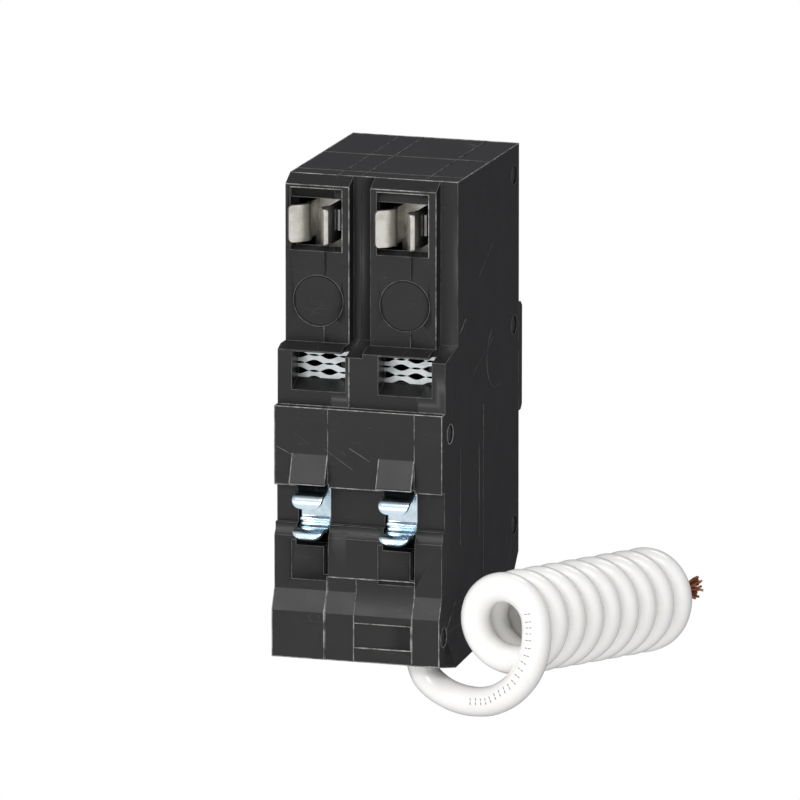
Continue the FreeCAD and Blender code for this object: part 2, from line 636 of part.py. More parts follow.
    lug_front_y = "(lug_y + lug_depth / 2)"
    screw_z = "((lug_low_z + lug_high_z) / 2)"
    keep(less(
        f"load_lug_{side}",
        box(
            f"lug_block_{side}", (f"{x} - lug_half", f"{x} + lug_half"),
            ("lug_y - lug_depth / 2", lug_front_y), ("lug_low_z", "lug_high_z"),
        ),
        box(
            f"lug_throat_{side}", (f"{x} - lug_half + lug_metal", f"{x} + lug_half - lug_metal"),
            ("lug_y - lug_depth / 2 + lug_metal", lug_front_y + " - lug_front"),
            ("lug_low_z - 1", "lug_high_z + 1"),
        ),
        rod(
            f"lug_thread_{side}", "y", "screw_radius + running_gap",
            (x, lug_front_y + " - lug_front - 1", screw_z), "lug_front + 2",
        ),
    ))
    plate_front = f"({lug_front_y} - lug_front - 0.3)"
    screw = join(
        f"screw_blank_{side}",
        rod(f"screw_shank_{side}", "y", "screw_radius", (x, plate_front, screw_z), "screw_length + 0.2"),
        rod(
            f"screw_cap_{side}", "y", "screw_head", (x, plate_front + " + screw_length", screw_z),
            "screw_head_depth",
        ),
    )
    keep(less(
        f"lug_screw_{side}", screw,
        box(
            f"screw_drive_{side}", (f"{x} - screw_head - 1", f"{x} + screw_head + 1"),
            (plate_front + " + screw_length + screw_head_depth - 0.9", plate_front + " + 12"),
            (screw_z + " - 0.5", screw_z + " + 0.5"),
        ),
    ))
    keep(box(
        f"clamp_plate_{side}", (f"{x} - lug_half + lug_metal + 0.1", f"{x} + lug_half - lug_metal - 0.1"),
        (plate_front + " - 1", plate_front), ("lug_low_z + 0.6", "lug_high_z - 0.6"),
    ))

    # expanded metal: a plate with staggered lens-shaped openings
    vent = f"{x} + vent_shift"
    mesh_rear = "(mid_face_y + vent_depth)"
    mesh_low = "(vent_sill_z + vent_rise)"
    lens_arc = "((lens_width * lens_width / 4 + lens_height * lens_height / 4) / lens_height)"
    lenses = []
    for column in range(3):
        for level in range(2):
            lens_x = f"{vent} + 2.7 + {column} * mesh_half_pitch"
            lens_z = f"{mesh_low} + 0.95 + ({level} + {column % 2} / 2) * mesh_pitch_z"
            shift = f"({lens_arc} - lens_height / 2)"
            halves = [
                rod(
                    f"lens_{word}_{side}_{column}_{level}", "y", lens_arc,
                    (lens_x, mesh_rear + " - 1", f"{lens_z} {sign} {shift}"), "mesh_thickness + 2",
                )
                for word, sign in (("upper", "+"), ("lower", "-"))
            ]
            lenses.append(common(f"lens_{side}_{column}_{level}", *halves))
    keep(less(
        f"vent_screen_{side}",
        box(
            f"mesh_sheet_{side}", (vent, vent + " + vent_width"),
            (mesh_rear, mesh_rear + " + mesh_thickness"), (mesh_low, "vent_high_z"),
        ),
        *lenses,
    ))

    # the rail clip: a spring channel whose two lips take the rail between them
    clip_x = f"{x} + clip_shift"
    keep(strip(
        f"rail_clip_{side}", "YZ",
        [
            ("-6.2", "0.9"), ("-5.2", "2.9"), ("-2.6", "3.6"), ("-0.6", "4.7"),
            ("1.1", "4.2"), ("1.1", "-4"), ("-1.4", "-4.9"), ("-4.6", "-4.6"), ("-6.4", "-5.8"),
        ],
        "clip_thickness", f"{clip_x} - clip_width / 2", f"{clip_x} + clip_width / 2",
    ))

# handles and their tie

lever_half = "handle_thickness / 2"
for index, (side, x) in enumerate(zip(sides, pole_x)):
    keep(join(
        f"handle_{side}",
        rod(
            f"handle_hub_{side}", "x", "hub_radius", (f"{x} - handle_width / 2", "handle_y", "handle_z"),
            "handle_width",
        ),
        prism(
            f"handle_lever_{side}", "YZ",
            [
                ("handle_y", f"handle_z - {lever_half}"),
                ("handle_tip_y", f"handle_z - {lever_half} + 0.8"),
                ("handle_tip_y", f"handle_z + {lever_half} - 0.8"),
                ("handle_y", f"handle_z + {lever_half}"),
            ],
            f"{x} - handle_width / 2", f"{x} + handle_width / 2",
        ),
        trunnion(f"handle_trunnion_{side}", index, "trunnion_radius", "handle_y", "handle_z", "0"),
    ))
tie_stop = "handle_tip_y + 0.9"
tie = box(
    "tie_block", (f"{pole_x[0]} - handle_width / 2 - 1.2", f"{pole_x[1]} + handle_width / 2 + 1.2"),
    (f"{tie_stop} - tie_depth", tie_stop), ("handle_z - tie_half", "handle_z + tie_half"),
)
keep(less("handle_tie", tie, *[
    prism(
        f"tie_socket_{side}", "YZ",
        [
            ("handle_y", f"handle_z - {lever_half}"), ("handle_tip_y", f"handle_z - {lever_half} + 0.8"),
            ("handle_tip_y", f"handle_z + {lever_half} - 0.8"), ("handle_y", f"handle_z + {lever_half}"),
        ],
        f"{x} - handle_width / 2", f"{x} + handle_width / 2",
    )
    for side, x in zip(sides, pole_x)
]))

# the ground-fault unit

tabs = [
    box(
        f"bar_tab_{side}", (f"{x} - 1.2", f"{x} + 1.2"), ("bar_y - 0.7", "bar_y + 0.7"),
        ("bar_z", "cradle_z + 0.6"),
    )
    for side, x in zip(sides, pole_x)
]
keep(join(
    "trip_bar",
    rod("bar_shaft", "x", "bar_radius", (bar_start, "bar_y", "bar_z"), f"{bar_stop} - {bar_start}"),
    *tabs,
    box(
        "bar_paddle", ("coil_x - 1.2", "coil_x + 1.2"), ("bar_y - 3.4", "bar_y"),
        ("bar_z - 3.4", "bar_z - 2"),
    ),
    box("bar_web", ("coil_x - 1.2", "coil_x + 1.2"), ("bar_y - 1.2", "bar_y"), ("bar_z - 3.4", "bar_z")),
))
keep(less(
    "solenoid_coil",
    rod("coil_winding", "z", "coil_radius", ("coil_x", "coil_y", "coil_low_z"), "coil_high_z - coil_low_z"),
    rod(
        "coil_bore", "z", "plunger_radius + running_gap", ("coil_x", "coil_y", "coil_low_z + 1.5"),
        "coil_high_z - coil_low_z",
    ),
))
keep(rod(
    "solenoid_plunger", "z", "plunger_radius", ("coil_x", "coil_y", "coil_low_z + 3"),
    "plunger_high_z - coil_low_z - 3",
))
core_start = ("coil_x", "core_y", "core_z")
keep(less(
    "sense_core",
    rod("core_ring", "z", "core_radius", core_start, "core_height"),
    rod("core_opening", "z", "core_hole", core_start, "core_height"),
))
keep(box(
    "circuit_board", ("board_x", "board_x + board_metal"), ("board_rear_y", "board_front_y"),
    ("board_low_z", "board_high_z"),
))
chip_rows = (("14.5", "20", "30", "38"), ("22", "30", "40", "46"), ("16", "19", "48", "54"))
chips = [
    box(
        f"chip_{number}", ("board_x - chip_depth", "board_x"), (low_y, high_y), (low_z, high_z),
    )
    for number, (low_y, high_y, low_z, high_z) in enumerate(chip_rows, start=1)
]
keep(group("board_parts", *chips))
button_flange_y = "(front_y - wall - button_travel - 1.2)"
keep(join(
    "test_button",
    rod(
        "button_cap", "y", "button_radius", ("coil_x", button_flange_y, "button_z"),
        f"front_y + button_proud - {button_flange_y}",
    ),
    rod("button_collar", "y", "button_flange", ("coil_x", "front_y - wall - 1.2", "button_z"), "1.2"),
))
leaf_y = "(front_y - wall - 2 * button_travel - 1.6)"
keep(strip(
    "test_contact", "YZ",
    [
        (leaf_y + " - 0.5", "button_z - 2.4"), (leaf_y, "button_z"), (leaf_y, "button_z + 6"),
        ("front_y - wall - 0.3", "button_z + 7.6"),
    ],
    "0.4", "coil_x - 1.5", "coil_x + 1.5",
))

# the neutral lead: a tube of straight runs and tangent arcs, then the coil

coil_axis = Vector(0.325, 0.941, -0.077).normalize()
coil_start = Vector(value("coil_start_x"), value("coil_start_y"), value("coil_start_z"))
coil_across = Vector(0.945, -0.327, 0).normalize()
coil_across = (coil_across - coil_axis * coil_across.dot(coil_axis)).normalize()
lead_route = [
    Vector(value("exit_x"), value("exit_y"), value("exit_inner_z")),
    Vector(value("exit_x"), value("exit_y"), value("bottom_z - exit_drop")),
    Vector(16.3, 2.9, -38.5), Vector(23.4, -0.6, -39.8), Vector(31.5, -5.6, -38.1),
    Vector(38.3, -9.5, -32.7), Vector(41.2, -10.2, -26.2), Vector(41.6, -9.2, -19.6),
]


def rounded(route, closeness):
    # straight runs joined by tangent arcs, each as large as its two runs allow
    edges = []
    radii = []
    last = route[0]
    for before, corner, after in zip(route, route[1:], route[2:]):
        come = (corner - before).normalize()
        leave = (after - corner).normalize()
        turn = come.getAngle(leave)
        shorter = min((corner - before).Length, (after - corner).Length)
        radius = closeness * shorter / math.tan(turn / 2)
        reach = radius * math.tan(turn / 2)
        start = corner - come * reach
        stop = corner + leave * reach
        bisector = (leave - come).normalize()
        middle = corner + bisector * (radius / math.cos(turn / 2) - radius)
        edges.append(Part.LineSegment(last, start).toShape())
        edges.append(Part.Arc(start, middle, stop).toShape())
        radii.append(radius)
        last = stop
    edges.append(Part.LineSegment(last, route[-1]).toShape())
    print("lead radii, mm:", [round(radius, 1) for radius in radii])
    return Part.Wire(edges)


path = rounded(lead_route, 0.45)
wire_radius = value("wire_radius")
start_circle = Part.Circle(lead_route[0], lead_route[1] - lead_route[0], wire_radius - 0.02)
tube = path.makePipeShell([Part.Wire(start_circle.toShape())], True, False)
print("lead length", round(path.Length, 2), "volume ratio", round(
    tube.Volume / (math.pi * (wire_radius - 0.02) ** 2 * path.Length), 4,
))
lead = doc.addObject("Part::Feature", "neutral_lead")
lead.Shape = tube
keep(lead)

mean_radius = value("coil_mean_radius")
turns = value("coil_turns")
pitch = value("coil_pitch")
coil_length = turns * pitch
coil_low = coil_start - coil_axis * (wire_radius * 0.3)
outer = Part.makeCylinder(mean_radius + wire_radius, coil_length + wire_radius, coil_low, coil_axis)
inner = Part.makeCylinder(mean_radius - wire_radius, coil_length + wire_radius, coil_low, coil_axis)
coil = doc.addObject("Part::Feature", "neutral_coil")
coil.Shape = outer.cut(inner)
keep(coil)
# the stripped end crosses the back of the last ring and shows past its edge
coil_up = coil_across.cross(coil_axis)
strand_back = coil_length + 0.7 * wire_radius + value("strand_radius")
strand_way = (coil_across + coil_up * 0.36).normalize()
strand_start = coil_start + coil_axis * strand_back + strand_way * value("strand_set_in")
strands = doc.addObject("Part::Feature", "neutral_strands")
strands.Shape = Part.makeCylinder(
    value("strand_radius"), value("strand_length"), strand_start, strand_way,
)
keep(strands)

# tests, then one STEP file for each piece

doc.recompute()
for item in doc.Objects:
    if {"Invalid", "Error"} & set(item.State):
        raise RuntimeError(f"{item.Name} failed: {item.State}")
for part in parts:
    if part.Shape.isNull() or not part.Shape.isValid() or part.Shape.Volume <= 0:
        raise RuntimeError(f"{part.Label} has no sound solid")
os.makedirs("parts", exist_ok=True)
for part in parts:
    part.Shape.exportStep(f"parts/{part.Label}.step")
print(len(parts), "parts written")
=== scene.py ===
import bpy
import bmesh
import json
import math
import random
from mathutils.bvhtree import BVHTree
from mathutils import Vector, Matrix


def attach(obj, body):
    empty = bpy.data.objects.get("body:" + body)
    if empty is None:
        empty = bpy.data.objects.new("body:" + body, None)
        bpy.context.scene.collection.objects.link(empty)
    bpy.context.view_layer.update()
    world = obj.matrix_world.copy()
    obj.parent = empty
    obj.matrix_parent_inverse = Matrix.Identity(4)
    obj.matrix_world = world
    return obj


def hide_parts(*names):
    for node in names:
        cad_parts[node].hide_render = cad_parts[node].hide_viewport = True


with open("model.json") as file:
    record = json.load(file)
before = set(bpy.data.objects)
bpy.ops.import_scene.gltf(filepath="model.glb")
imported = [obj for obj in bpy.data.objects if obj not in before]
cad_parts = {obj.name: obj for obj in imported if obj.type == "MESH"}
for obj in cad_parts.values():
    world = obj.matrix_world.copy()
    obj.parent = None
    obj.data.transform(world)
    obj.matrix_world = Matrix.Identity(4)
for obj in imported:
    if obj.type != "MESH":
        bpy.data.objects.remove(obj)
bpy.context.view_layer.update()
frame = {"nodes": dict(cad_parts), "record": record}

mm = 0.001
nodes = frame["nodes"]
bodyOf = {node: body for body, members in frame["record"]["behaviour"]["bodies"].items() for node in members}
sides = ("left", "right")
poleX = {"left": -12.65, "right": 6.40}
print("frame loaded:", len(nodes), "nodes")


# shared shader groups

def newGroup(name, inputs, outputs):
    group = bpy.data.node_groups.new(name, "ShaderNodeTree")
    for label, kind, value in inputs:
        socket = group.interface.new_socket(label, in_out="INPUT", socket_type=kind)
        socket.default_value = value
    for label, kind in outputs:
        group.interface.new_socket(label, in_out="OUTPUT", socket_type=kind)
    start = group.nodes.new("NodeGroupInput")
    stop = group.nodes.new("NodeGroupOutput")
    return group, start, stop


def addNode(tree, kind, **settings):
    node = tree.nodes.new(kind)
    for key, value in settings.items():
        if key in node.inputs:
            node.inputs[key].default_value = value
        else:
            setattr(node, key, value)
    return node


def mathNode(tree, operation, first, second=None, clamp=False):
    node = tree.nodes.new("ShaderNodeMath")
    node.operation = operation
    node.use_clamp = clamp
    for index, item in enumerate((first, second)):
        if item is None:
            continue
        if isinstance(item, (int, float)):
            node.inputs[index].default_value = item
        else:
            tree.links.new(item, node.inputs[index])
    return node.outputs[0]


def mixColors(tree, factor, first, second):
    node = tree.nodes.new("ShaderNodeMix")
    node.data_type = "RGBA"
    for socket, item in ((node.inputs[0], factor), (node.inputs[6], first), (node.inputs[7], second)):
        if isinstance(item, bpy.types.NodeSocket):
            tree.links.new(item, socket)
        else:
            socket.default_value = item
    return node.outputs[2]


def rampNode(tree, factor, stops):
    node = tree.nodes.new("ShaderNodeValToRGB")
    elements = node.color_ramp.elements
    while len(elements) < len(stops):
        elements.new(0.5)
    for element, (place, level) in zip(elements, stops):
        element.position = place
        element.color = (level, level, level, 1)
    tree.links.new(factor, node.inputs[0])
    return node.outputs[0]


def makeGrain():
    # fine moulded or cast grain: a height and a speckle, from object coordinates
    group, start, stop = newGroup(
        "surfaceGrain",
        [("Scale", "NodeSocketFloat", 4000.0), ("Depth", "NodeSocketFloat", 0.1),
         ("Distance", "NodeSocketFloat", 0.00003), ("Patch Scale", "NodeSocketFloat", 120.0)],
        [("Normal", "NodeSocketVector"), ("Speckle", "NodeSocketFloat"), ("Patches", "NodeSocketFloat")],
    )
    place = group.nodes.new("ShaderNodeTexCoord")
    fine = addNode(group, "ShaderNodeTexNoise", Detail=3.0, Roughness=0.6)
    wide = addNode(group, "ShaderNodeTexNoise", Detail=4.0, Roughness=0.55)
    bump = addNode(group, "ShaderNodeBump")
    link = group.links.new
    link(place.outputs["Object"], fine.inputs["Vector"])
    link(place.outputs["Object"], wide.inputs["Vector"])
    link(start.outputs["Scale"], fine.inputs["Scale"])
    link(start.outputs["Patch Scale"], wide.inputs["Scale"])
    link(start.outputs["Depth"], bump.inputs["Strength"])
    link(start.outputs["Distance"], bump.inputs["Distance"])
    link(fine.outputs["Fac"], bump.inputs["Height"])
    link(bump.outputs["Normal"], stop.inputs["Normal"])
    link(fine.outputs["Fac"], stop.inputs["Speckle"])
    link(wide.outputs["Fac"], stop.inputs["Patches"])
    return group


def makeScratches():
    # a few long thin rubs at mixed angles, as a mask
    group, start, stop = newGroup(
        "fineScratches",
        [("Scale", "NodeSocketFloat", 90.0), ("Amount", "NodeSocketFloat", 0.5)],
        [("Mask", "NodeSocketFloat")],
    )
    place = group.nodes.new("ShaderNodeTexCoord")
    masks = []
    for turn, stretch in ((0.6, 14.0), (-1.1, 9.0)):
        mapping = addNode(group, "ShaderNodeMapping")
        mapping.inputs["Rotation"].default_value = (turn, turn * 0.4, turn)
        mapping.inputs["Scale"].default_value = (1.0, 1.0, stretch)
        cells = addNode(group, "ShaderNodeTexVoronoi", feature="DISTANCE_TO_EDGE")
        group.links.new(place.outputs["Object"], mapping.inputs["Vector"])
        group.links.new(mapping.outputs["Vector"], cells.inputs["Vector"])
        group.links.new(start.outputs["Scale"], cells.inputs["Scale"])
        masks.append(mathNode(group, "LESS_THAN", cells.outputs["Distance"], 0.0035))
    both = mathNode(group, "ADD", masks[0], masks[1], clamp=True)
    gate = addNode(group, "ShaderNodeTexNoise", Scale=160.0, Detail=2.0)
    group.links.new(place.outputs["Object"], gate.inputs["Vector"])
    level = mathNode(group, "GREATER_THAN", gate.outputs["Fac"], 0.6)
    group.links.new(
        mathNode(group, "MULTIPLY", mathNode(group, "MULTIPLY", both, level), start.outputs["Amount"]),
        stop.inputs["Mask"],
    )
    return group


def makeTarnish():
    # dull and bright patches of plated metal with fine drawn lines
    group, start, stop = newGroup(
        "metalTarnish",
        [("Clean", "NodeSocketColor", (0.8, 0.8, 0.8, 1)), ("Tarnished", "NodeSocketColor", (0.4, 0.35, 0.25, 1)),
         ("Amount", "NodeSocketFloat", 0.4), ("Patch Scale", "NodeSocketFloat", 350.0),
         ("Line Scale", "NodeSocketFloat", 1500.0), ("Roughness", "NodeSocketFloat", 0.3)],
        [("Color", "NodeSocketColor"), ("Roughness", "NodeSocketFloat"), ("Normal", "NodeSocketVector")],
    )
    place = group.nodes.new("ShaderNodeTexCoord")
    patches = addNode(group, "ShaderNodeTexNoise", Detail=5.0, Roughness=0.6)
    mapping = addNode(group, "ShaderNodeMapping")
    mapping.inputs["Scale"].default_value = (1.0, 1.0, 0.06)
    lines = addNode(group, "ShaderNodeTexNoise", Detail=2.0)
    bump = addNode(group, "ShaderNodeBump", Strength=0.12, Distance=0.00003)
    link = group.links.new
    link(place.outputs["Object"], patches.inputs["Vector"])
    link(place.outputs["Object"], mapping.inputs["Vector"])
    link(mapping.outputs["Vector"], lines.inputs["Vector"])
    link(start.outputs["Patch Scale"], patches.inputs["Scale"])
    link(start.outputs["Line Scale"], lines.inputs["Scale"])
    spread = rampNode(group, patches.outputs["Fac"], ((0.42, 0.0), (0.72, 1.0)))
    factor = mathNode(group, "MULTIPLY", spread, start.outputs["Amount"], clamp=True)
    link(mixColors(group, factor, start.outputs["Clean"], start.outputs["Tarnished"]), stop.inputs["Color"])
    rough = mathNode(group, "MULTIPLY", factor, 0.3)
    link(mathNode(group, "ADD", rough, start.outputs["Roughness"]), stop.inputs["Roughness"])
    link(lines.outputs["Fac"], bump.inputs["Height"])
    link(bump.outputs["Normal"], stop.inputs["Normal"])
    return group


grainGroup = makeGrain()
scratchGroup = makeScratches()
tarnishGroup = makeTarnish()
print("shader groups built")


# materials

def startMaterial(name, baseColor, roughness, metallic=0.0):
    material = bpy.data.materials.new(name)
    material.use_nodes = True
    material.diffuse_color = (*baseColor, 1)
    shader = material.node_tree.nodes["Principled BSDF"]
    shader.inputs["Base Color"].default_value = (*baseColor, 1)
    shader.inputs["Roughness"].default_value = roughness
    shader.inputs["Metallic"].default_value = metallic
    return material, material.node_tree, shader


def placeGroup(tree, group, **values):
    node = tree.nodes.new("ShaderNodeGroup")
    node.node_tree = group
    for key, value in values.items():
        node.inputs[key].default_value = value
    return node


def plasticMaterial(name, look):
    # moulded plastic: grain, uneven gloss and light rubs
    material, tree, shader = startMaterial(name, look["color"], look["roughness"])
    grain = placeGroup(tree, grainGroup, Scale=look["grain"], Depth=look["depth"])
    rubs = placeGroup(tree, scratchGroup, Scale=look["rubScale"], Amount=look["rubs"])
    shade = mixColors(tree, grain.outputs["Patches"], (*[c * 0.8 for c in look["color"]], 1),
                      (*[c * 1.25 for c in look["color"]], 1))
    shade = mixColors(tree, rubs.outputs["Mask"], shade, (*look["rubColor"], 1))
    tree.links.new(shade, shader.inputs["Base Color"])
    spread = mathNode(tree, "MULTIPLY", grain.outputs["Patches"], look["roughSpread"])
    rough = mathNode(tree, "ADD", spread, look["roughness"] - look["roughSpread"] / 2)
    tree.links.new(rough, shader.inputs["Roughness"])
    tree.links.new(grain.outputs["Normal"], shader.inputs["Normal"])
    shader.inputs["Specular IOR Level"].default_value = look.get("specular", 0.5)
    return material


def metalMaterial(name, look):
    # plated or bare metal with tarnish patches
    material, tree, shader = startMaterial(name, look["clean"], look["roughness"], 1.0)
    tarnish = placeGroup(
        tree, tarnishGroup, Clean=(*look["clean"], 1), Tarnished=(*look["tarnished"], 1), Amount=look["amount"],
        Roughness=look["roughness"],
    )
    tarnish.inputs["Patch Scale"].default_value = look.get("patchScale", 350.0)
    tree.links.new(tarnish.outputs["Color"], shader.inputs["Base Color"])
    tree.links.new(tarnish.outputs["Roughness"], shader.inputs["Roughness"])
    tree.links.new(tarnish.outputs["Normal"], shader.inputs["Normal"])
    return material


blackLook = {"color": (0.0150, 0.0150, 0.0146), "roughness": 0.38, "roughSpread": 0.16,
             "grain": 3800.0, "depth": 0.12, "rubs": 0.35, "rubScale": 60.0, "rubColor": (0.10, 0.10, 0.10),
             "specular": 0.28}
plastics = {
    "casePlastic": blackLook,
    "handlePlastic": {**blackLook, "roughness": 0.42, "color": (0.016, 0.016, 0.017)},
    "barPlastic": {**blackLook, "color": (0.16, 0.08, 0.035), "rubs": 0.1},
    "chipBlack": {**blackLook, "color": (0.02, 0.02, 0.022), "rubs": 0.0},
    "boardGreen": {**blackLook, "color": (0.015, 0.10, 0.035), "roughness": 0.3, "rubs": 0.0},
    "buttonPlastic": {**blackLook, "color": (0.02, 0.07, 0.32), "roughness": 0.3, "rubs": 0.1},
}
metals = {
    "tinPlate": {"clean": (0.62, 0.61, 0.57), "tarnished": (0.34, 0.31, 0.24), "amount": 0.6, "roughness": 0.34},
    "springSteel": {"clean": (0.5, 0.51, 0.53), "tarnished": (0.3, 0.28, 0.25), "amount": 0.3, "roughness": 0.3},
    "contactSilver": {"clean": (0.83, 0.81, 0.77), "tarnished": (0.5, 0.45, 0.4), "amount": 0.4, "roughness": 0.25},
    "armCopper": {"clean": (0.72, 0.36, 0.22), "tarnished": (0.4, 0.2, 0.12), "amount": 0.5, "roughness": 0.32},
    "plainSteel": {"clean": (0.5, 0.5, 0.5), "tarnished": (0.3, 0.28, 0.26), "amount": 0.4, "roughness": 0.38},
    "bimetalStrip": {"clean": (0.6, 0.57, 0.5), "tarnished": (0.4, 0.34, 0.25), "amount": 0.4, "roughness": 0.3},
    "lugAluminium": {"clean": (0.72, 0.72, 0.73), "tarnished": (0.5, 0.5, 0.5), "amount": 0.3, "roughness": 0.36},
    "screwSteel": {"clean": (0.6, 0.59, 0.55), "tarnished": (0.36, 0.34, 0.28), "amount": 0.4, "roughness": 0.33},
    "coilCopper": {"clean": (0.5, 0.18, 0.07), "tarnished": (0.3, 0.1, 0.04), "amount": 0.4, "roughness": 0.3},
    "coreIron": {"clean": (0.1, 0.1, 0.11), "tarnished": (0.05, 0.05, 0.05), "amount": 0.5, "roughness": 0.5},
    "rivetSteel": {"clean": (0.16, 0.16, 0.165), "tarnished": (0.05, 0.05, 0.05), "amount": 0.7, "roughness": 0.4},
    "galvanisedMesh": {"clean": (0.62, 0.66, 0.67), "tarnished": (0.28, 0.3, 0.3), "amount": 0.5, "roughness": 0.36},
    "zincClip": {"clean": (0.62, 0.72, 0.78), "tarnished": (0.26, 0.40, 0.52), "amount": 0.6, "roughness": 0.15},
    "bareCopper": {"clean": (0.50, 0.22, 0.12), "tarnished": (0.22, 0.10, 0.06), "amount": 0.6, "roughness": 0.35},
}
materials = {name: plasticMaterial(name, look) for name, look in plastics.items()}
materials.update({name: metalMaterial(name, look) for name, look in metals.items()})


def edgeMaterial(name, look):
    # mould lines and corners drawn in grey, in patches: partly rubbed wear, partly painted highlight along the edges
    material, tree, shader = startMaterial(name, look["wearAndHighlightGrey"], 0.5)
    place = tree.nodes.new("ShaderNodeTexCoord")
    patches = addNode(tree, "ShaderNodeTexNoise", Scale=look["patch"], Detail=4.0, Roughness=0.7)
    tree.links.new(place.outputs["Object"], patches.inputs["Vector"])
    spread = rampNode(tree, patches.outputs["Fac"], ((0.36, look["least"]), (0.62, 1.0)))
    shade = mixColors(tree, spread, (0.02, 0.02, 0.02, 1), (*look["wearAndHighlightGrey"], 1))
    tree.links.new(shade, shader.inputs["Base Color"])
    grain = placeGroup(tree, grainGroup, Scale=6000.0, Depth=0.3)
    tree.links.new(grain.outputs["Normal"], shader.inputs["Normal"])
    return material


def whitePvcMaterial():
    look = {"color": (0.86, 0.86, 0.85), "roughness": 0.22}
    material, tree, shader = startMaterial("whitePvc", look["color"], look["roughness"])
    grain = placeGroup(tree, grainGroup, Scale=1400.0, Depth=0.05)
    grain.inputs["Patch Scale"].default_value = 220.0
    shade = mixColors(tree, grain.outputs["Patches"], (0.86, 0.845, 0.825, 1), (0.91, 0.90, 0.885, 1))
    tree.links.new(shade, shader.inputs["Base Color"])
    speckle = mathNode(tree, "MULTIPLY", grain.outputs["Speckle"], 0.08)
    rough = mathNode(tree, "ADD", speckle, look["roughness"] - 0.04)
    tree.links.new(rough, shader.inputs["Roughness"])
    tree.links.new(grain.outputs["Normal"], shader.inputs["Normal"])
    shader.inputs["Subsurface Weight"].default_value = 0.35
    shader.inputs["Subsurface Radius"].default_value = (0.0028, 0.0024, 0.0020)
    shader.inputs["Coat Weight"].default_value = 0.3
    return material


# grey of the edge lines: rubbed wear, with painted highlight along the case edges
edgeLooks = {
    "scuffAndHighlightEdge": {"wearAndHighlightGrey": (0.34, 0.34, 0.33), "patch": 420.0, "least": 0.12},
    "faintEdge": {"wearAndHighlightGrey": (0.10, 0.10, 0.10), "patch": 400.0, "least": 0.05},
}
materials.update({name: edgeMaterial(name, look) for name, look in edgeLooks.items()})
materials["printInk"] = plasticMaterial("printInk", {**blackLook, "color": (0.10, 0.10, 0.11), "rubs": 0.0})
materials["whitePvc"] = whitePvcMaterial()
print("materials built:", len(materials))


# helpers for pieces

def meshPiece(name, mesh, material, smooth=True):
    piece = bpy.data.objects.new(name, mesh)
    bpy.context.scene.collection.objects.link(piece)
    if material is not None:
        mesh.materials.clear()
        mesh.materials.append(materials[material])
    if smooth:
        mesh.polygons.foreach_set("use_smooth", [True] * len(mesh.polygons))
    return piece


def bakeModifiers(piece):
    # the evaluated shape becomes the piece's own plain mesh
    graph = bpy.context.evaluated_depsgraph_get()
    mesh = bpy.data.meshes.new_from_object(piece.evaluated_get(graph), depsgraph=graph)
    piece.modifiers.clear()
    old = piece.data
    piece.data = mesh
    if isinstance(old, bpy.types.Mesh):
        bpy.data.meshes.remove(old)
    return piece


def nodeCopy(name, node):
    # a merged copy of a CAD node's mesh, with its flat faces dissolved to single faces
    mesh = nodes[node].data.copy()
    build = bmesh.new()
    build.from_mesh(mesh)
    bmesh.ops.remove_doubles(build, verts=build.verts, dist=0.002 * mm)
    bmesh.ops.dissolve_limit(build, angle_limit=math.radians(1.0), verts=build.verts, edges=build.edges)
    build.to_mesh(mesh)
    build.free()
    return meshPiece(name, mesh, None, smooth=False)


def shadeByAngle(piece, angle=35.0):
    piece.data.polygons.foreach_set("use_smooth", [True] * len(piece.data.polygons))
    piece.data.set_sharp_from_angle(angle=math.radians(angle))


def place(piece, node, slot=None):
    # a finished piece stands for its CAD node and moves with its body
    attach(piece, bodyOf[node])
    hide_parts(node)


# the case: four moulded shells with grey edge lines of rubbed wear and painted highlight

shell = {"strong": 0.115, "faint": 0.085, "crease": 26.0, "shortest": 0.25,
         "names": ("left_base", "left_cover", "right_base", "right_cover")}


def pathTree(name, material):
    # lines become round beads whose thickness wanders along them
    tree = bpy.data.node_groups.new(name, "GeometryNodeTree")
    tree.interface.new_socket("Lines", in_out="INPUT", socket_type="NodeSocketGeometry")
    for label, value in (("Radius", 0.0001), ("Wander", 0.5), ("Noise Scale", 300.0)):
        tree.interface.new_socket(label, in_out="INPUT", socket_type="NodeSocketFloat").default_value = value
    tree.interface.new_socket("Sides", in_out="INPUT", socket_type="NodeSocketInt").default_value = 6
    tree.interface.new_socket("Beads", in_out="OUTPUT", socket_type="NodeSocketGeometry")
    start, stop = tree.nodes.new("NodeGroupInput"), tree.nodes.new("NodeGroupOutput")
    curves = tree.nodes.new("GeometryNodeMeshToCurve")
    wander = tree.nodes.new("ShaderNodeTexNoise")
    ring = tree.nodes.new("GeometryNodeCurvePrimitiveCircle")
    ring.inputs["Radius"].default_value = 1.0
    sweep = tree.nodes.new("GeometryNodeCurveToMesh")
    sweep.inputs["Fill Caps"].default_value = True
    real = tree.nodes.new("GeometryNodeRealizeInstances")
    paint = tree.nodes.new("GeometryNodeSetMaterial")
    paint.inputs["Material"].default_value = materials[material]
    link = tree.links.new
    link(start.outputs["Lines"], curves.inputs[0])
    link(start.outputs["Noise Scale"], wander.inputs["Scale"])
    swing = mathNode(tree, "MULTIPLY", mathNode(tree, "SUBTRACT", wander.outputs[0], 0.5), start.outputs["Wander"])
    swing = mathNode(tree, "ADD", mathNode(tree, "MULTIPLY", swing, 2.0), 1.0)
    link(mathNode(tree, "MULTIPLY", swing, start.outputs["Radius"]), sweep.inputs["Scale"])
    link(start.outputs["Sides"], ring.inputs["Resolution"])
    link(curves.outputs[0], sweep.inputs["Curve"])
    link(ring.outputs[0], sweep.inputs["Profile Curve"])
    link(sweep.outputs[0], real.inputs[0])
    link(real.outputs[0], paint.inputs["Geometry"])
    link(paint.outputs[0], stop.inputs["Beads"])
    return tree


def setInput(modifier, label, value):
    for item in modifier.node_group.interface.items_tree:
        if item.item_type == "SOCKET" and item.in_out == "INPUT" and item.name == label:
            modifier[item.identifier] = value


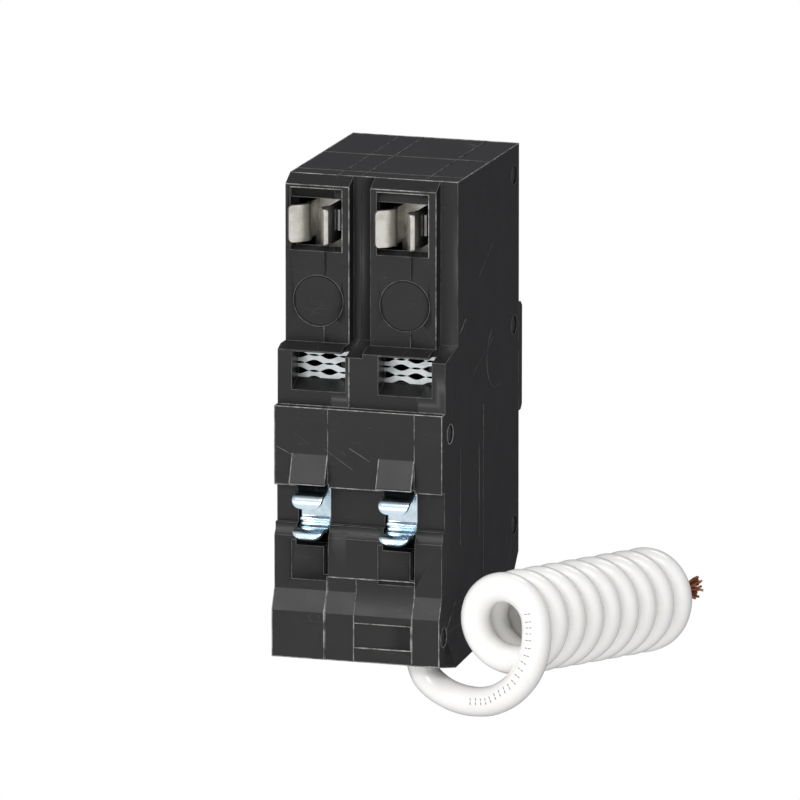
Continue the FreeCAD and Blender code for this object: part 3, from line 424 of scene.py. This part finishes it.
def grow(name, mesh, tree, **values):
    # runs a geometry tree on a mesh and keeps the result as a plain mesh
    piece = meshPiece(name, mesh, None, smooth=False)
    modifier = piece.modifiers.new("nodes", "NODES")
    modifier.node_group = tree
    for label, value in values.items():
        setInput(modifier, label, value)
    return bakeModifiers(piece)


def lineMesh(name, points, edges):
    mesh = bpy.data.meshes.new(name)
    mesh.from_pydata(points, edges, [])
    return mesh


# grey beads laid along edges: painted highlight along them, with rubbed wear
strongTree = pathTree("scuffAndHighlightLines", "scuffAndHighlightEdge")
faintTree = pathTree("faintLines", "faintEdge")


outside = {"rearY": 5.95, "sideX": 18.3, "topZ": 69.3, "frontY": 51, "bottomZ": -31.9, "shelfY": 9.4, "shelfZ": 31}
sorting = {
    "seamX": -2.75, "seamReach": 0.4, "seamLow": -14.3, "seamHigh": 21.3, "seamY": 3,
    "ringX": 1.4, "ringZ": 42.9, "ringReach": 7.0, "ringLow": 35, "ringHigh": 50,
    "windowReach": 6.3, "windowLow": 50, "windowHigh": 66,
    "rearY": 6.5, "shelfZ": 34, "shelfReach": 1.2, "ventLow": 23, "ventHigh": 33,
    "clipLow": -15.5, "clipHigh": 4, "topZ": 69,
}


def onOutside(point):
    # whether a point of the case lies on its visible skin
    x, y, z = (c / mm for c in point)
    onShelf = y < outside["shelfY"] and z > outside["shelfZ"]
    onSides = abs(x) > outside["sideX"] or z > outside["topZ"] or z < outside["bottomZ"]
    return y < outside["rearY"] or y > outside["frontY"] or onSides or onShelf


def edgeGrade(x, y, z):
    # strong, faint or none: how light a grey line an outer edge of the case gets, as rubbed wear and painted
    # highlight
    s = sorting
    onSeam = abs(x - s["seamX"]) < s["seamReach"] and s["seamLow"] < z < s["seamHigh"] and y < s["seamY"]
    ring = min(math.hypot(x - poleX[side] - s["ringX"], z - s["ringZ"]) for side in sides)
    if onSeam or (s["ringLow"] < z < s["ringHigh"] and ring < s["ringReach"]):
        return None
    inWindow = s["windowLow"] < z < s["windowHigh"] and min(abs(x - poleX[side]) for side in sides) < s["windowReach"]
    sheltered = (abs(z - s["shelfZ"]) < s["shelfReach"] or s["ventLow"] < z < s["ventHigh"]
                 or s["clipLow"] < z < s["clipHigh"] or inWindow)
    # strong lines on the rear face and the top: painted highlight along the edges, as well as rubbed wear
    return "strong" if (y < s["rearY"] and not sheltered) or z > s["topZ"] else "faint"


def creaseEdges(piece):
    # the sharp outer edges of a shell, divided into strong and faint grey lines of rubbed wear and painted highlight
    build = bmesh.new()
    build.from_mesh(piece.data)
    found = {"strong": ([], []), "faint": ([], [])}
    for edge in build.edges:
        if len(edge.link_faces) != 2 or edge.calc_length() < shell["shortest"] * mm:
            continue
        if edge.calc_face_angle(0) < math.radians(shell["crease"]):
            continue
        ends = [vertex.co.copy() for vertex in edge.verts]
        middle = (ends[0] + ends[1]) / 2
        if not onOutside(middle):
            continue
        grade = edgeGrade(*(c / mm for c in middle))
        if grade is None:
            continue
        points, edges = found[grade]
        edges.append((len(points), len(points) + 1))
        points.extend(ends)
    build.free()
    return found


def caseShell(node):
    piece = nodeCopy(node + "_shell", node)
    piece.data.materials.clear()
    piece.data.materials.append(materials["casePlastic"])
    lines = creaseEdges(piece)
    shadeByAngle(piece, 22.0)
    place(piece, node, "case_plastic")
    for grade, tree in (("strong", strongTree), ("faint", faintTree)):
        points, edges = lines[grade]
        beads = grow(f"{node}_{grade}_edges", lineMesh(node + grade, points, edges), tree,
                     Radius=shell[grade] * mm, Wander=0.7)
        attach(beads, "root")
    return piece


shells = [caseShell(node) for node in shell["names"]]
print("case shells done")


# mould lines and ribs drawn as grey lines, which paint the highlight along them, and scratches and rubs on the flat
# faces

marks = {
    "strong": [
        [(-2.75, 0.3, 21.7), (-2.75, 0.3, 33.2)],
        [(-6.95, -2.03, -14.6), (-6.95, -2.03, -17.4), (-6.95, -4.03, -22.0), (-6.95, -4.03, -31.9)],
        [(12.45, -2.03, -14.6), (12.45, -2.03, -17.4), (12.45, -4.03, -22.0), (12.45, -4.03, -31.9)],
        [(-6.9, -2.03, -14.6), (12.4, -2.03, -14.6)],
    ],
    "faint": [
        [(-18.3, 14.0, 69.42), (18.3, 14.0, 69.42)], [(-18.3, 32.0, 69.42), (18.3, 32.0, 69.42)],
        [(16.4, 5.87, 35.0), (16.4, 5.87, 66.5)], [(18.42, 11.1, -9.0), (18.42, 11.1, 12.0)],
        [(18.42, 27.5, -20.0), (18.42, 27.5, 18.0)],
        [(18.42, 24.5, -10.0), (18.42, 24.5, 10.0)], [(18.42, -3.9, -25.8), (18.42, 44.0, -25.8)],
        [(-18.3, -2.03, 13.0), (-13.6, -2.03, 10.8)], [(-2.0, -2.03, 13.4), (2.6, -2.03, 10.8)],
        [(-18.3, -2.03, 4.9), (-9.0, -2.03, 4.9)],
    ],
    "scratch": [
        [(18.43, 10.6, 36.6), (18.43, 15.0, 39.0)], [(18.43, -1.6, -27.5), (18.43, 7.5, -20.5)],
    ],
    "rub": [
        [(18.43, 20.0, 26.0), (18.43, 34.0, 31.0)], [(18.43, 24.0, 46.0), (18.43, 33.5, 51.4)],
        [(-7.6, -2.03, 13.0), (-1.2, -2.03, 8.8)],
    ],
}


def circlePoints(centre, radius, axis, first=0.0, last=360.0, steps=48):
    points = []
    for step in range(steps + 1):
        angle = math.radians(first + (last - first) * step / steps)
        a, b = radius * math.cos(angle), radius * math.sin(angle)
        x, y, z = centre
        points.append((x, y + a, z + b) if axis == "x" else (x + a, y, z + b))
    return points


marks["faint"].append(circlePoints((18.42, 37.0, 27.0), 7.0, "x", 120, 290))
for x in poleX.values():
    marks["faint"].append(circlePoints((x + 1.4, 5.88, 42.9), 5.35, "y"))
markSizes = {"strong": (strongTree, 0.13), "faint": (faintTree, 0.10), "scratch": (strongTree, 0.055),
             "rub": (faintTree, 0.07)}
def densify(line, gap):
    points = [line[0]]
    for a, b in zip(line, line[1:]):
        count = max(1, math.ceil((b - a).length / gap))
        points.extend(a.lerp(b, step / count) for step in range(1, count + 1))
    return points


markStep, markReach = 0.5, 0.3
skins = [BVHTree.FromPolygons([v.co for v in piece.data.vertices], [p.vertices for p in piece.data.polygons])
         for piece in shells]


def onSkin(point):
    # the nearest point of the case, or nothing where no surface lies under a mark
    hits = [hit for hit in (skin.find_nearest(point * mm) for skin in skins) if hit[0] is not None]
    spot, distance = min(((hit[0], hit[3]) for hit in hits), key=lambda pair: pair[1])
    return spot if distance < markReach * mm else None


def skinLine(line):
    # a mark laid on the case in short steps, broken where it would leave the surface
    spots = [onSkin(point) for point in densify([Vector(point) for point in line], markStep)]
    points = [spot for spot in spots if spot is not None]
    number, edges, last = -1, [], False
    for spot in spots:
        if spot is None:
            last = False
            continue
        number += 1
        if last:
            edges.append((number - 1, number))
        last = True
    return points, edges


for grade, lines in marks.items():
    points, edges = [], []
    for line in lines:
        first = len(points)
        laid, joined = skinLine(line)
        points.extend(laid)
        edges.extend((first + a, first + b) for a, b in joined)
    tree, radius = markSizes[grade]
    beads = grow(f"case_{grade}_marks", lineMesh(grade, points, edges), tree, Radius=radius * mm, Wander=0.9)
    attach(beads, "root")
print("case marks done")


# bent sheet metal: the line jaws and the rail clips

def smoothLine(points, radius, steps=6):
    # a polyline with its corners rounded to arcs
    line = [Vector(points[0])]
    for before, corner, after in zip(points, points[1:], points[2:]):
        corner = Vector(corner)
        come, leave = (corner - Vector(before)), (Vector(after) - corner)
        reach = min(radius, come.length * 0.48, leave.length * 0.48)
        start, stop = corner - come.normalized() * reach, corner + leave.normalized() * reach
        for step in range(steps + 1):
            t = step / steps
            line.append(start * (1 - t) ** 2 + corner * 2 * t * (1 - t) + stop * t ** 2)
    line.append(Vector(points[-1]))
    return line


def bentPlate(name, line, span, metal, toWorld, corner, tips):
    # a sheet swept along a line: span is its two sides, and tips says which ends are rounded off
    path = densify(line, 0.22)
    lengths = [0.0]
    for a, b in zip(path, path[1:]):
        lengths.append(lengths[-1] + (b - a).length)
    verts, faces, across = [], [], 10
    for point, along in zip(path, lengths):
        inset = 0.0
        for tip, fromEnd in (("first", along), ("last", lengths[-1] - along)):
            if tip in tips and fromEnd < corner:
                inset = max(inset, corner - math.sqrt(max(corner ** 2 - (corner - fromEnd) ** 2, 0)))
        low, high = span[0] + inset, span[1] - inset
        verts.extend(Vector(toWorld(point, low + (high - low) * step / across)) * mm for step in range(across + 1))
    for row in range(len(path) - 1):
        for column in range(across):
            a = row * (across + 1) + column
            faces.append((a, a + 1, a + across + 2, a + across + 1))
    mesh = bpy.data.meshes.new(name)
    mesh.from_pydata(verts, [], faces)
    piece = meshPiece(name, mesh, None, smooth=False)
    solid = piece.modifiers.new("metal", "SOLIDIFY")
    solid.thickness, solid.offset = metal * mm, 0.0
    edge = piece.modifiers.new("edge", "BEVEL")
    edge.width, edge.segments, edge.limit_method = 0.14 * mm, 2, "ANGLE"
    edge.angle_limit = math.radians(50)
    bakeModifiers(piece)
    shadeByAngle(piece, 40.0)
    return piece


jaw = {"metal": 1.0, "low": 55.35, "high": 63.35, "back": 15.5, "corner": 0.9}
clip = {"metal": 0.72, "corner": 2.0, "halfWidth": 3.28, "shift": 2.5}
for side in sides:
    x = poleX[side]
    flat = lambda point, height: (point.x, point.y, height)
    leftLine = smoothLine([(x - 4.65, 4.2), (x - 2.5, 5.7), (x - 1.1, 7.8), (x - 1.7, 9.4), (x - 1.7, 15.8)], 0.6)
    rightLine = smoothLine([(x + 3.7, 4.1), (x + 2.2, 6.4), (x + 3.6, 8.6), (x + 3.8, 15.8)], 0.7)
    left = bentPlate(f"jaw_left_blade_{side}", leftLine, (jaw["low"], jaw["high"]), jaw["metal"], flat,
                     jaw["corner"], ("first",))
    right = bentPlate(f"jaw_right_blade_{side}", rightLine, (jaw["low"] - 0.4, jaw["high"] - 0.4), jaw["metal"], flat,
                      jaw["corner"], ("first",))
    back = smoothLine([(jaw["back"], 44.1), (jaw["back"], 63.2)], 1.0)
    upright = lambda point, across: (across, point.x, point.y)
    web = bentPlate(f"jaw_web_{side}", back, (x - 2.2, x + 4.3), jaw["metal"], upright, 1.0, ("first",))
    for piece in (left, right, web):
        piece.data.materials.clear()
        piece.data.materials.append(materials["tinPlate"])
        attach(piece, "root")
    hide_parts(f"line_jaw_{side}")
    lips = smoothLine([(-5.9, 0.55), (-5.55, 2.2), (-4.2, 3.1), (-2.6, 3.3), (-0.6, 4.6),
                       (1.0, 4.3), (1.05, 1.5), (1.05, -2.4),
                       (0.5, -3.0), (0.9, -3.9), (-1.3, -4.9), (-3.6, -4.3), (-5.2, -4.7), (-6.3, -5.9)], 0.8)
    centre = x + clip["shift"]
    width = (centre - clip["halfWidth"], centre + clip["halfWidth"])
    hook = bentPlate(f"rail_clip_body_{side}", lips, width, clip["metal"], upright, clip["corner"], ("first", "last"))
    hook.data.materials.clear()
    hook.data.materials.append(materials["zincClip"])
    place(hook, f"rail_clip_{side}", "zinc_clip")
print("jaws and clips done")


# the vent screens: wavy strands of expanded metal

screen = {"wide": 11.9, "waves": 6.6, "swing": 0.47, "rowPitch": 1.72, "rows": 4, "width": 1.25, "metal": 0.5,
          "lowZ": 27.15, "y": 4.95, "start": {"left": -11.74, "right": 7.4}, "lift": {"left": 0.0, "right": 0.25}}


def screenTree():
    # rows of strands that swing up and down in turn, so that neighbours meet
    tree = bpy.data.node_groups.new("expandedMetal", "GeometryNodeTree")
    tree.interface.new_socket("Base", in_out="INPUT", socket_type="NodeSocketGeometry")
    numbers = (("Wide", 0.0119), ("Wave", 0.0066), ("Swing", 0.0005), ("Row Pitch", 0.0017),
               ("Strand Width", 0.00125),
               ("Metal", 0.0005), ("Phase", 0.0))
    for label, value in numbers:
        tree.interface.new_socket(label, in_out="INPUT", socket_type="NodeSocketFloat").default_value = value
    tree.interface.new_socket("Rows", in_out="INPUT", socket_type="NodeSocketInt").default_value = 4
    tree.interface.new_socket("Screen", in_out="OUTPUT", socket_type="NodeSocketGeometry")
    start, stop = tree.nodes.new("NodeGroupInput"), tree.nodes.new("NodeGroupOutput")
    link = tree.links.new
    get = start.outputs
    points = tree.nodes.new("GeometryNodeMeshLine")
    rise = tree.nodes.new("ShaderNodeCombineXYZ")
    link(get["Row Pitch"], rise.inputs["Z"])
    link(rise.outputs[0], points.inputs["Offset"])
    link(get["Rows"], points.inputs["Count"])
    line = tree.nodes.new("GeometryNodeCurvePrimitiveLine")
    far = tree.nodes.new("ShaderNodeCombineXYZ")
    link(get["Wide"], far.inputs["X"])
    link(far.outputs[0], line.inputs["End"])
    fine = tree.nodes.new("GeometryNodeResampleCurve")
    fine.inputs["Count"].default_value = 72
    link(line.outputs[0], fine.inputs["Curve"])
    spread = tree.nodes.new("GeometryNodeInstanceOnPoints")
    link(points.outputs[0], spread.inputs["Points"])
    link(fine.outputs[0], spread.inputs["Instance"])
    number = tree.nodes.new("GeometryNodeInputIndex")
    odd = mathNode(tree, "MODULO", number.outputs[0], 2.0)
    turn = mathNode(tree, "SUBTRACT", 1.0, mathNode(tree, "MULTIPLY", odd, 2.0))
    store = tree.nodes.new("GeometryNodeStoreNamedAttribute")
    store.data_type, store.domain = "FLOAT", "INSTANCE"
    store.inputs["Name"].default_value = "way"
    link(spread.outputs[0], store.inputs["Geometry"])
    link(turn, store.inputs["Value"])
    real = tree.nodes.new("GeometryNodeRealizeInstances")
    link(store.outputs[0], real.inputs[0])
    where = tree.nodes.new("GeometryNodeInputPosition")
    split = tree.nodes.new("ShaderNodeSeparateXYZ")
    link(where.outputs[0], split.inputs[0])
    way = tree.nodes.new("GeometryNodeInputNamedAttribute")
    way.data_type = "FLOAT"
    way.inputs["Name"].default_value = "way"
    along = mathNode(tree, "DIVIDE", mathNode(tree, "SUBTRACT", split.outputs["X"], get["Phase"]), get["Wave"])
    wave = mathNode(tree, "COSINE", mathNode(tree, "MULTIPLY", along, 2 * math.pi))
    lift = tree.nodes.new("ShaderNodeCombineXYZ")
    link(mathNode(tree, "MULTIPLY", mathNode(tree, "MULTIPLY", wave, way.outputs[0]), get["Swing"]), lift.inputs["Z"])
    move = tree.nodes.new("GeometryNodeSetPosition")
    link(real.outputs[0], move.inputs["Geometry"])
    link(lift.outputs[0], move.inputs["Offset"])
    section = tree.nodes.new("GeometryNodeCurvePrimitiveQuadrilateral")
    link(get["Strand Width"], section.inputs["Height"])
    link(get["Metal"], section.inputs["Width"])
    sweep = tree.nodes.new("GeometryNodeCurveToMesh")
    sweep.inputs["Fill Caps"].default_value = True
    link(move.outputs[0], sweep.inputs["Curve"])
    link(section.outputs[0], sweep.inputs["Profile Curve"])
    last = tree.nodes.new("GeometryNodeRealizeInstances")
    paint = tree.nodes.new("GeometryNodeSetMaterial")
    paint.inputs["Material"].default_value = materials["galvanisedMesh"]
    link(sweep.outputs[0], last.inputs[0])
    link(last.outputs[0], paint.inputs["Geometry"])
    link(paint.outputs[0], stop.inputs["Screen"])
    return tree


meshTree = screenTree()
for side in sides:
    left = poleX[side] - 2.75
    strands = grow(f"vent_mesh_{side}", lineMesh("base", [(0, 0, 0)], []), meshTree, Wide=screen["wide"] * mm,
                   Wave=screen["waves"] * mm, Swing=screen["swing"] * mm, Rows=screen["rows"],
                   Phase=(screen["start"][side] - left) * mm, **{"Row Pitch": screen["rowPitch"] * mm,
                   "Strand Width": screen["width"] * mm, "Metal": screen["metal"] * mm})
    corner = Vector((left, screen["y"], screen["lowZ"] + screen["lift"][side])) * mm
    strands.data.transform(Matrix.Translation(corner))
    shadeByAngle(strands, 40.0)
    place(strands, f"vent_screen_{side}", "galvanised_mesh")
print("vent screens done")


# materials of the CAD nodes that stay

nodeMaterials = {
    "case_rivets": "rivetSteel", "handle_left": "handlePlastic", "handle_right": "handlePlastic",
    "handle_tie": "handlePlastic", "trip_bar": "barPlastic", "solenoid_coil": "coilCopper",
    "solenoid_plunger": "plainSteel", "sense_core": "coreIron", "circuit_board": "boardGreen",
    "board_parts": "chipBlack", "test_button": "buttonPlastic", "test_contact": "springSteel",
}
perPole = {
    "line_jaw": "tinPlate", "jaw_spring": "springSteel", "fixed_contact": "contactSilver", "contact_arm": "armCopper",
    "contact_tip": "contactSilver", "arc_plates": "plainSteel", "cradle": "plainSteel", "main_spring": "springSteel",
    "bimetal": "bimetalStrip", "magnet_yoke": "plainSteel", "armature": "plainSteel", "load_lug": "lugAluminium",
    "lug_screw": "screwSteel", "clamp_plate": "screwSteel", "rail_clip": "zincClip", "vent_screen": "galvanisedMesh",
}
nodeMaterials.update({f"{name}_{side}": look for name, look in perPole.items() for side in sides})
for node, look in nodeMaterials.items():
    nodes[node].data.materials.clear()
    nodes[node].data.materials.append(materials[look])
print("node materials set")


# the neutral lead: one wire from the case through its coil

lead = {
    "radius": 3.15, "turns": 8.5, "pitch": 6.35, "meanRadius": 8.0, "pointsPerTurn": 14,
    "exit": (11.6, 4.0, -27.5),
    "route": [(11.6, 4.0, -34.4), (16.3, 2.9, -38.5), (23.4, -0.6, -39.8), (31.5, -5.6, -38.1), (38.3, -9.3, -32.9),
              (41.4, -9.8, -26.5)],
    "coilStart": (33.35, -7.7, -21.0), "coilAxis": (0.325, 0.941, -0.077), "coilAcross": (0.991, -0.131, 0.0),
    "endRadii": (6.0, 3.2, 1.0), "strandLength": 6.4, "strandCount": 19, "strandRadius": 0.27,
}
coilAxis = Vector(lead["coilAxis"]).normalized()
coilAcross = Vector(lead["coilAcross"])
coilUp = Vector((0, 0, 1))
coilCentre = Vector(lead["coilStart"])


def coilPoint(turn):
    angle = 2 * math.pi * turn
    reach = lead["meanRadius"] / math.cos(math.pi / lead["pointsPerTurn"])
    ring = coilAcross * math.cos(angle) + coilUp * math.sin(angle)
    return coilCentre + coilAxis * (lead["pitch"] * turn) + ring * reach


leadPoints = [Vector(lead["exit"])] + [Vector(point) for point in lead["route"]]
for index in range(round(lead["turns"] * lead["pointsPerTurn"]) + 1):
    leadPoints.append(coilPoint(index / lead["pointsPerTurn"]))
endBack = coilCentre + coilAxis * (lead["pitch"] * lead["turns"] + 4.6)
for reach, rise in zip(lead["endRadii"], (-3.2, -1.6, 0.0)):
    leadPoints.append(endBack - coilAcross * reach + coilUp * rise)
wireEnd = endBack + coilAcross * 2.6 + coilUp * 1.0
leadPoints.append(wireEnd)


def makeLead():
    curve = bpy.data.curves.new("neutral_wire", "CURVE")
    curve.dimensions = "3D"
    curve.bevel_depth = lead["radius"] * mm
    curve.bevel_resolution = 8
    curve.use_fill_caps = True
    curve.resolution_u = 6
    spline = curve.splines.new("NURBS")
    spline.points.add(len(leadPoints) - 1)
    for point, spot in zip(spline.points, leadPoints):
        point.co = (*(spot * mm), 1.0)
    spline.order_u = 3
    spline.use_endpoint_u = True
    curve.materials.append(materials["whitePvc"])
    piece = bpy.data.objects.new("neutral_wire", curve)
    bpy.context.scene.collection.objects.link(piece)
    return piece


wire = makeLead()


def printDashes():
    # plain grey dashes along the side of the lead that faces the viewer
    toward = Vector((-0.29, -0.93, 0.21)).normalized()
    line = smoothLine([point[:] for point in leadPoints[3:9]], 2.0)
    line = densify(line, 0.25)
    points, edges = [], []
    for index in range(20, len(line) - 1, 7):
        along = (line[index + 1] - line[index]).normalized()
        out = (toward - along * toward.dot(along)).normalized()
        across = along.cross(out)
        for shift in (-0.42, 0.42):
            middle = line[index] + out * (lead["radius"] + 0.01) + across * shift
            first = len(points)
            points.extend(((middle - across * 0.28) * mm, (middle + across * 0.28) * mm))
            edges.append((first, first + 1))
    return grow("lead_print", lineMesh("dashes", points, edges), pathTree("printMarks", "printInk"), Radius=0.07 * mm,
                Wander=0.1)


dashes = printDashes()
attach(dashes, "root")
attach(wire, "root")
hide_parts("neutral_lead", "neutral_coil")


def makeStrands():
    # stripped copper strands that splay out past the last ring
    chance = random.Random(11)
    way = (coilAcross + coilUp * 0.34).normalized()
    side = coilAxis.cross(way).normalized()
    points, edges = [], []
    for number in range(lead["strandCount"]):
        around = number * 2.39996
        off = math.sqrt((number + 0.5) / lead["strandCount"]) * 1.15
        start = wireEnd + side * (off * math.cos(around)) + coilAxis * (off * math.sin(around) * 0.7)
        spread = side * (chance.uniform(-0.30, 0.30)) + coilAxis * chance.uniform(-0.12, 0.16)
        length = lead["strandLength"] * chance.uniform(0.72, 1.0)
        for step in range(7):
            t = step / 6
            edges.append((len(points), len(points) + 1))
            sway = side * (0.14 * math.sin(9 * t + around))
            points.append((start + way * (length * t) + spread * (length * t * t) + sway) * mm)
        edges.pop()
    return grow("copper_strands", lineMesh("strands", points, edges), pathTree("copperStrands", "bareCopper"),
                Radius=lead["strandRadius"] * mm, Wander=0.15)


copper = makeStrands()
place(copper, "neutral_strands", "bare_copper")
bare = wire.data.copy()
bare.bevel_depth = 0.0
probe = bpy.data.objects.new("probe", bare)
bpy.context.scene.collection.objects.link(probe)
graph = bpy.context.evaluated_depsgraph_get()
line = bpy.data.meshes.new_from_object(probe.evaluated_get(graph), depsgraph=graph)
bpy.data.objects.remove(probe)
print("lead done")


# camera, floor and lights

view = {"azimuth": 17.437, "elevation": 12.281, "target": (3.03, 17.73, 20.01), "distance": 3663.8, "lens": 781.9}


def makeCamera():
    azimuth, elevation = math.radians(view["azimuth"]), math.radians(view["elevation"])
    level = math.cos(elevation)
    back = Vector((math.sin(azimuth) * level, -math.cos(azimuth) * level, math.sin(elevation)))
    camera = bpy.data.objects.new("camera", bpy.data.cameras.new("camera"))
    bpy.context.scene.collection.objects.link(camera)
    camera.location = (Vector(view["target"]) + back * view["distance"]) * mm
    camera.rotation_mode = "QUATERNION"
    camera.rotation_quaternion = (-back).to_track_quat("-Z", "Y")
    camera.data.lens = view["lens"]
    camera.data.sensor_width = 36.0
    camera.data.clip_start = 0.1
    camera.data.clip_end = 60.0
    bpy.context.scene.camera = camera


def makeFloor():
    # a pale sweep seen by the camera only, so that it lights nothing from below
    floorZ, reach = -0.11, 14.0
    mesh = bpy.data.meshes.new("floor")
    corners = [(-reach, -reach, floorZ), (reach, -reach, floorZ), (reach, reach, floorZ), (-reach, reach, floorZ)]
    mesh.from_pydata(corners, [], [(0, 1, 2, 3)])
    floor = bpy.data.objects.new("floor", mesh)
    bpy.context.scene.collection.objects.link(floor)
    material = bpy.data.materials.new("paleFloor")
    material.use_nodes = True
    tree = material.node_tree
    tree.nodes.remove(tree.nodes["Principled BSDF"])
    glow = addNode(tree, "ShaderNodeEmission", Color=(1, 1, 1, 1), Strength=1.0)
    tree.links.new(glow.outputs[0], tree.nodes["Material Output"].inputs[0])
    mesh.materials.append(material)
    for ray in ("visible_diffuse", "visible_glossy", "visible_transmission", "visible_shadow"):
        setattr(floor, ray, False)


def makeWorld(front, back):
    world = bpy.data.worlds.new("studio")
    bpy.context.scene.world = world
    world.use_nodes = True
    tree = world.node_tree
    background = tree.nodes["Background"]
    # bright in front of the breaker's rear face and dark behind it
    way = tree.nodes.new("ShaderNodeTexCoord")
    split = tree.nodes.new("ShaderNodeSeparateXYZ")
    tree.links.new(way.outputs["Generated"], split.inputs[0])
    turn = tree.nodes.new("ShaderNodeMapRange")
    turn.interpolation_type = "SMOOTHSTEP"
    for label, value in (("From Min", -0.45), ("From Max", 0.45), ("To Min", 0.0), ("To Max", 1.0)):
        turn.inputs[label].default_value = value
    tree.links.new(split.outputs["Y"], turn.inputs["Value"])
    room = mixColors(tree, turn.outputs[0], (front, front, front, 1), (back, back, back * 1.1, 1))
    path = tree.nodes.new("ShaderNodeLightPath")
    shade = mixColors(tree, path.outputs["Is Camera Ray"], room, (1, 1, 1, 1))
    tree.links.new(shade, background.inputs["Color"])


def softBox(name, aim, azimuth, elevation, distance, size, power, color=(1, 1, 1)):
    light = bpy.data.lights.new(name, "AREA")
    light.shape = "RECTANGLE"
    light.size, light.size_y = size
    light.energy = power
    light.color = color
    lamp = bpy.data.objects.new(name, light)
    bpy.context.scene.collection.objects.link(lamp)
    a, e = math.radians(azimuth), math.radians(elevation)
    way = Vector((math.sin(a) * math.cos(e), -math.cos(a) * math.cos(e), math.sin(e)))
    lamp.location = Vector(aim) * mm + way * distance
    lamp.rotation_mode = "QUATERNION"
    lamp.rotation_quaternion = way.to_track_quat("Z", "Y")


makeCamera()
makeFloor()
makeWorld(1.05, 0.14)
centre = (5, 20, 15)
softBox("hoodLight", centre, -17, 28, 1.2, (0.45, 0.22), 3.2)
softBox("topLight", centre, -10, 72, 1.1, (0.5, 0.3), 1.6, (0.93, 0.96, 1.0))
softBox("handleLight", centre, 178, 52, 1.3, (0.6, 0.3), 2.2)
bpy.context.scene.view_settings.view_transform = "Standard"
bpy.context.scene.view_settings.look = "None"
print("camera, floor and lights set")
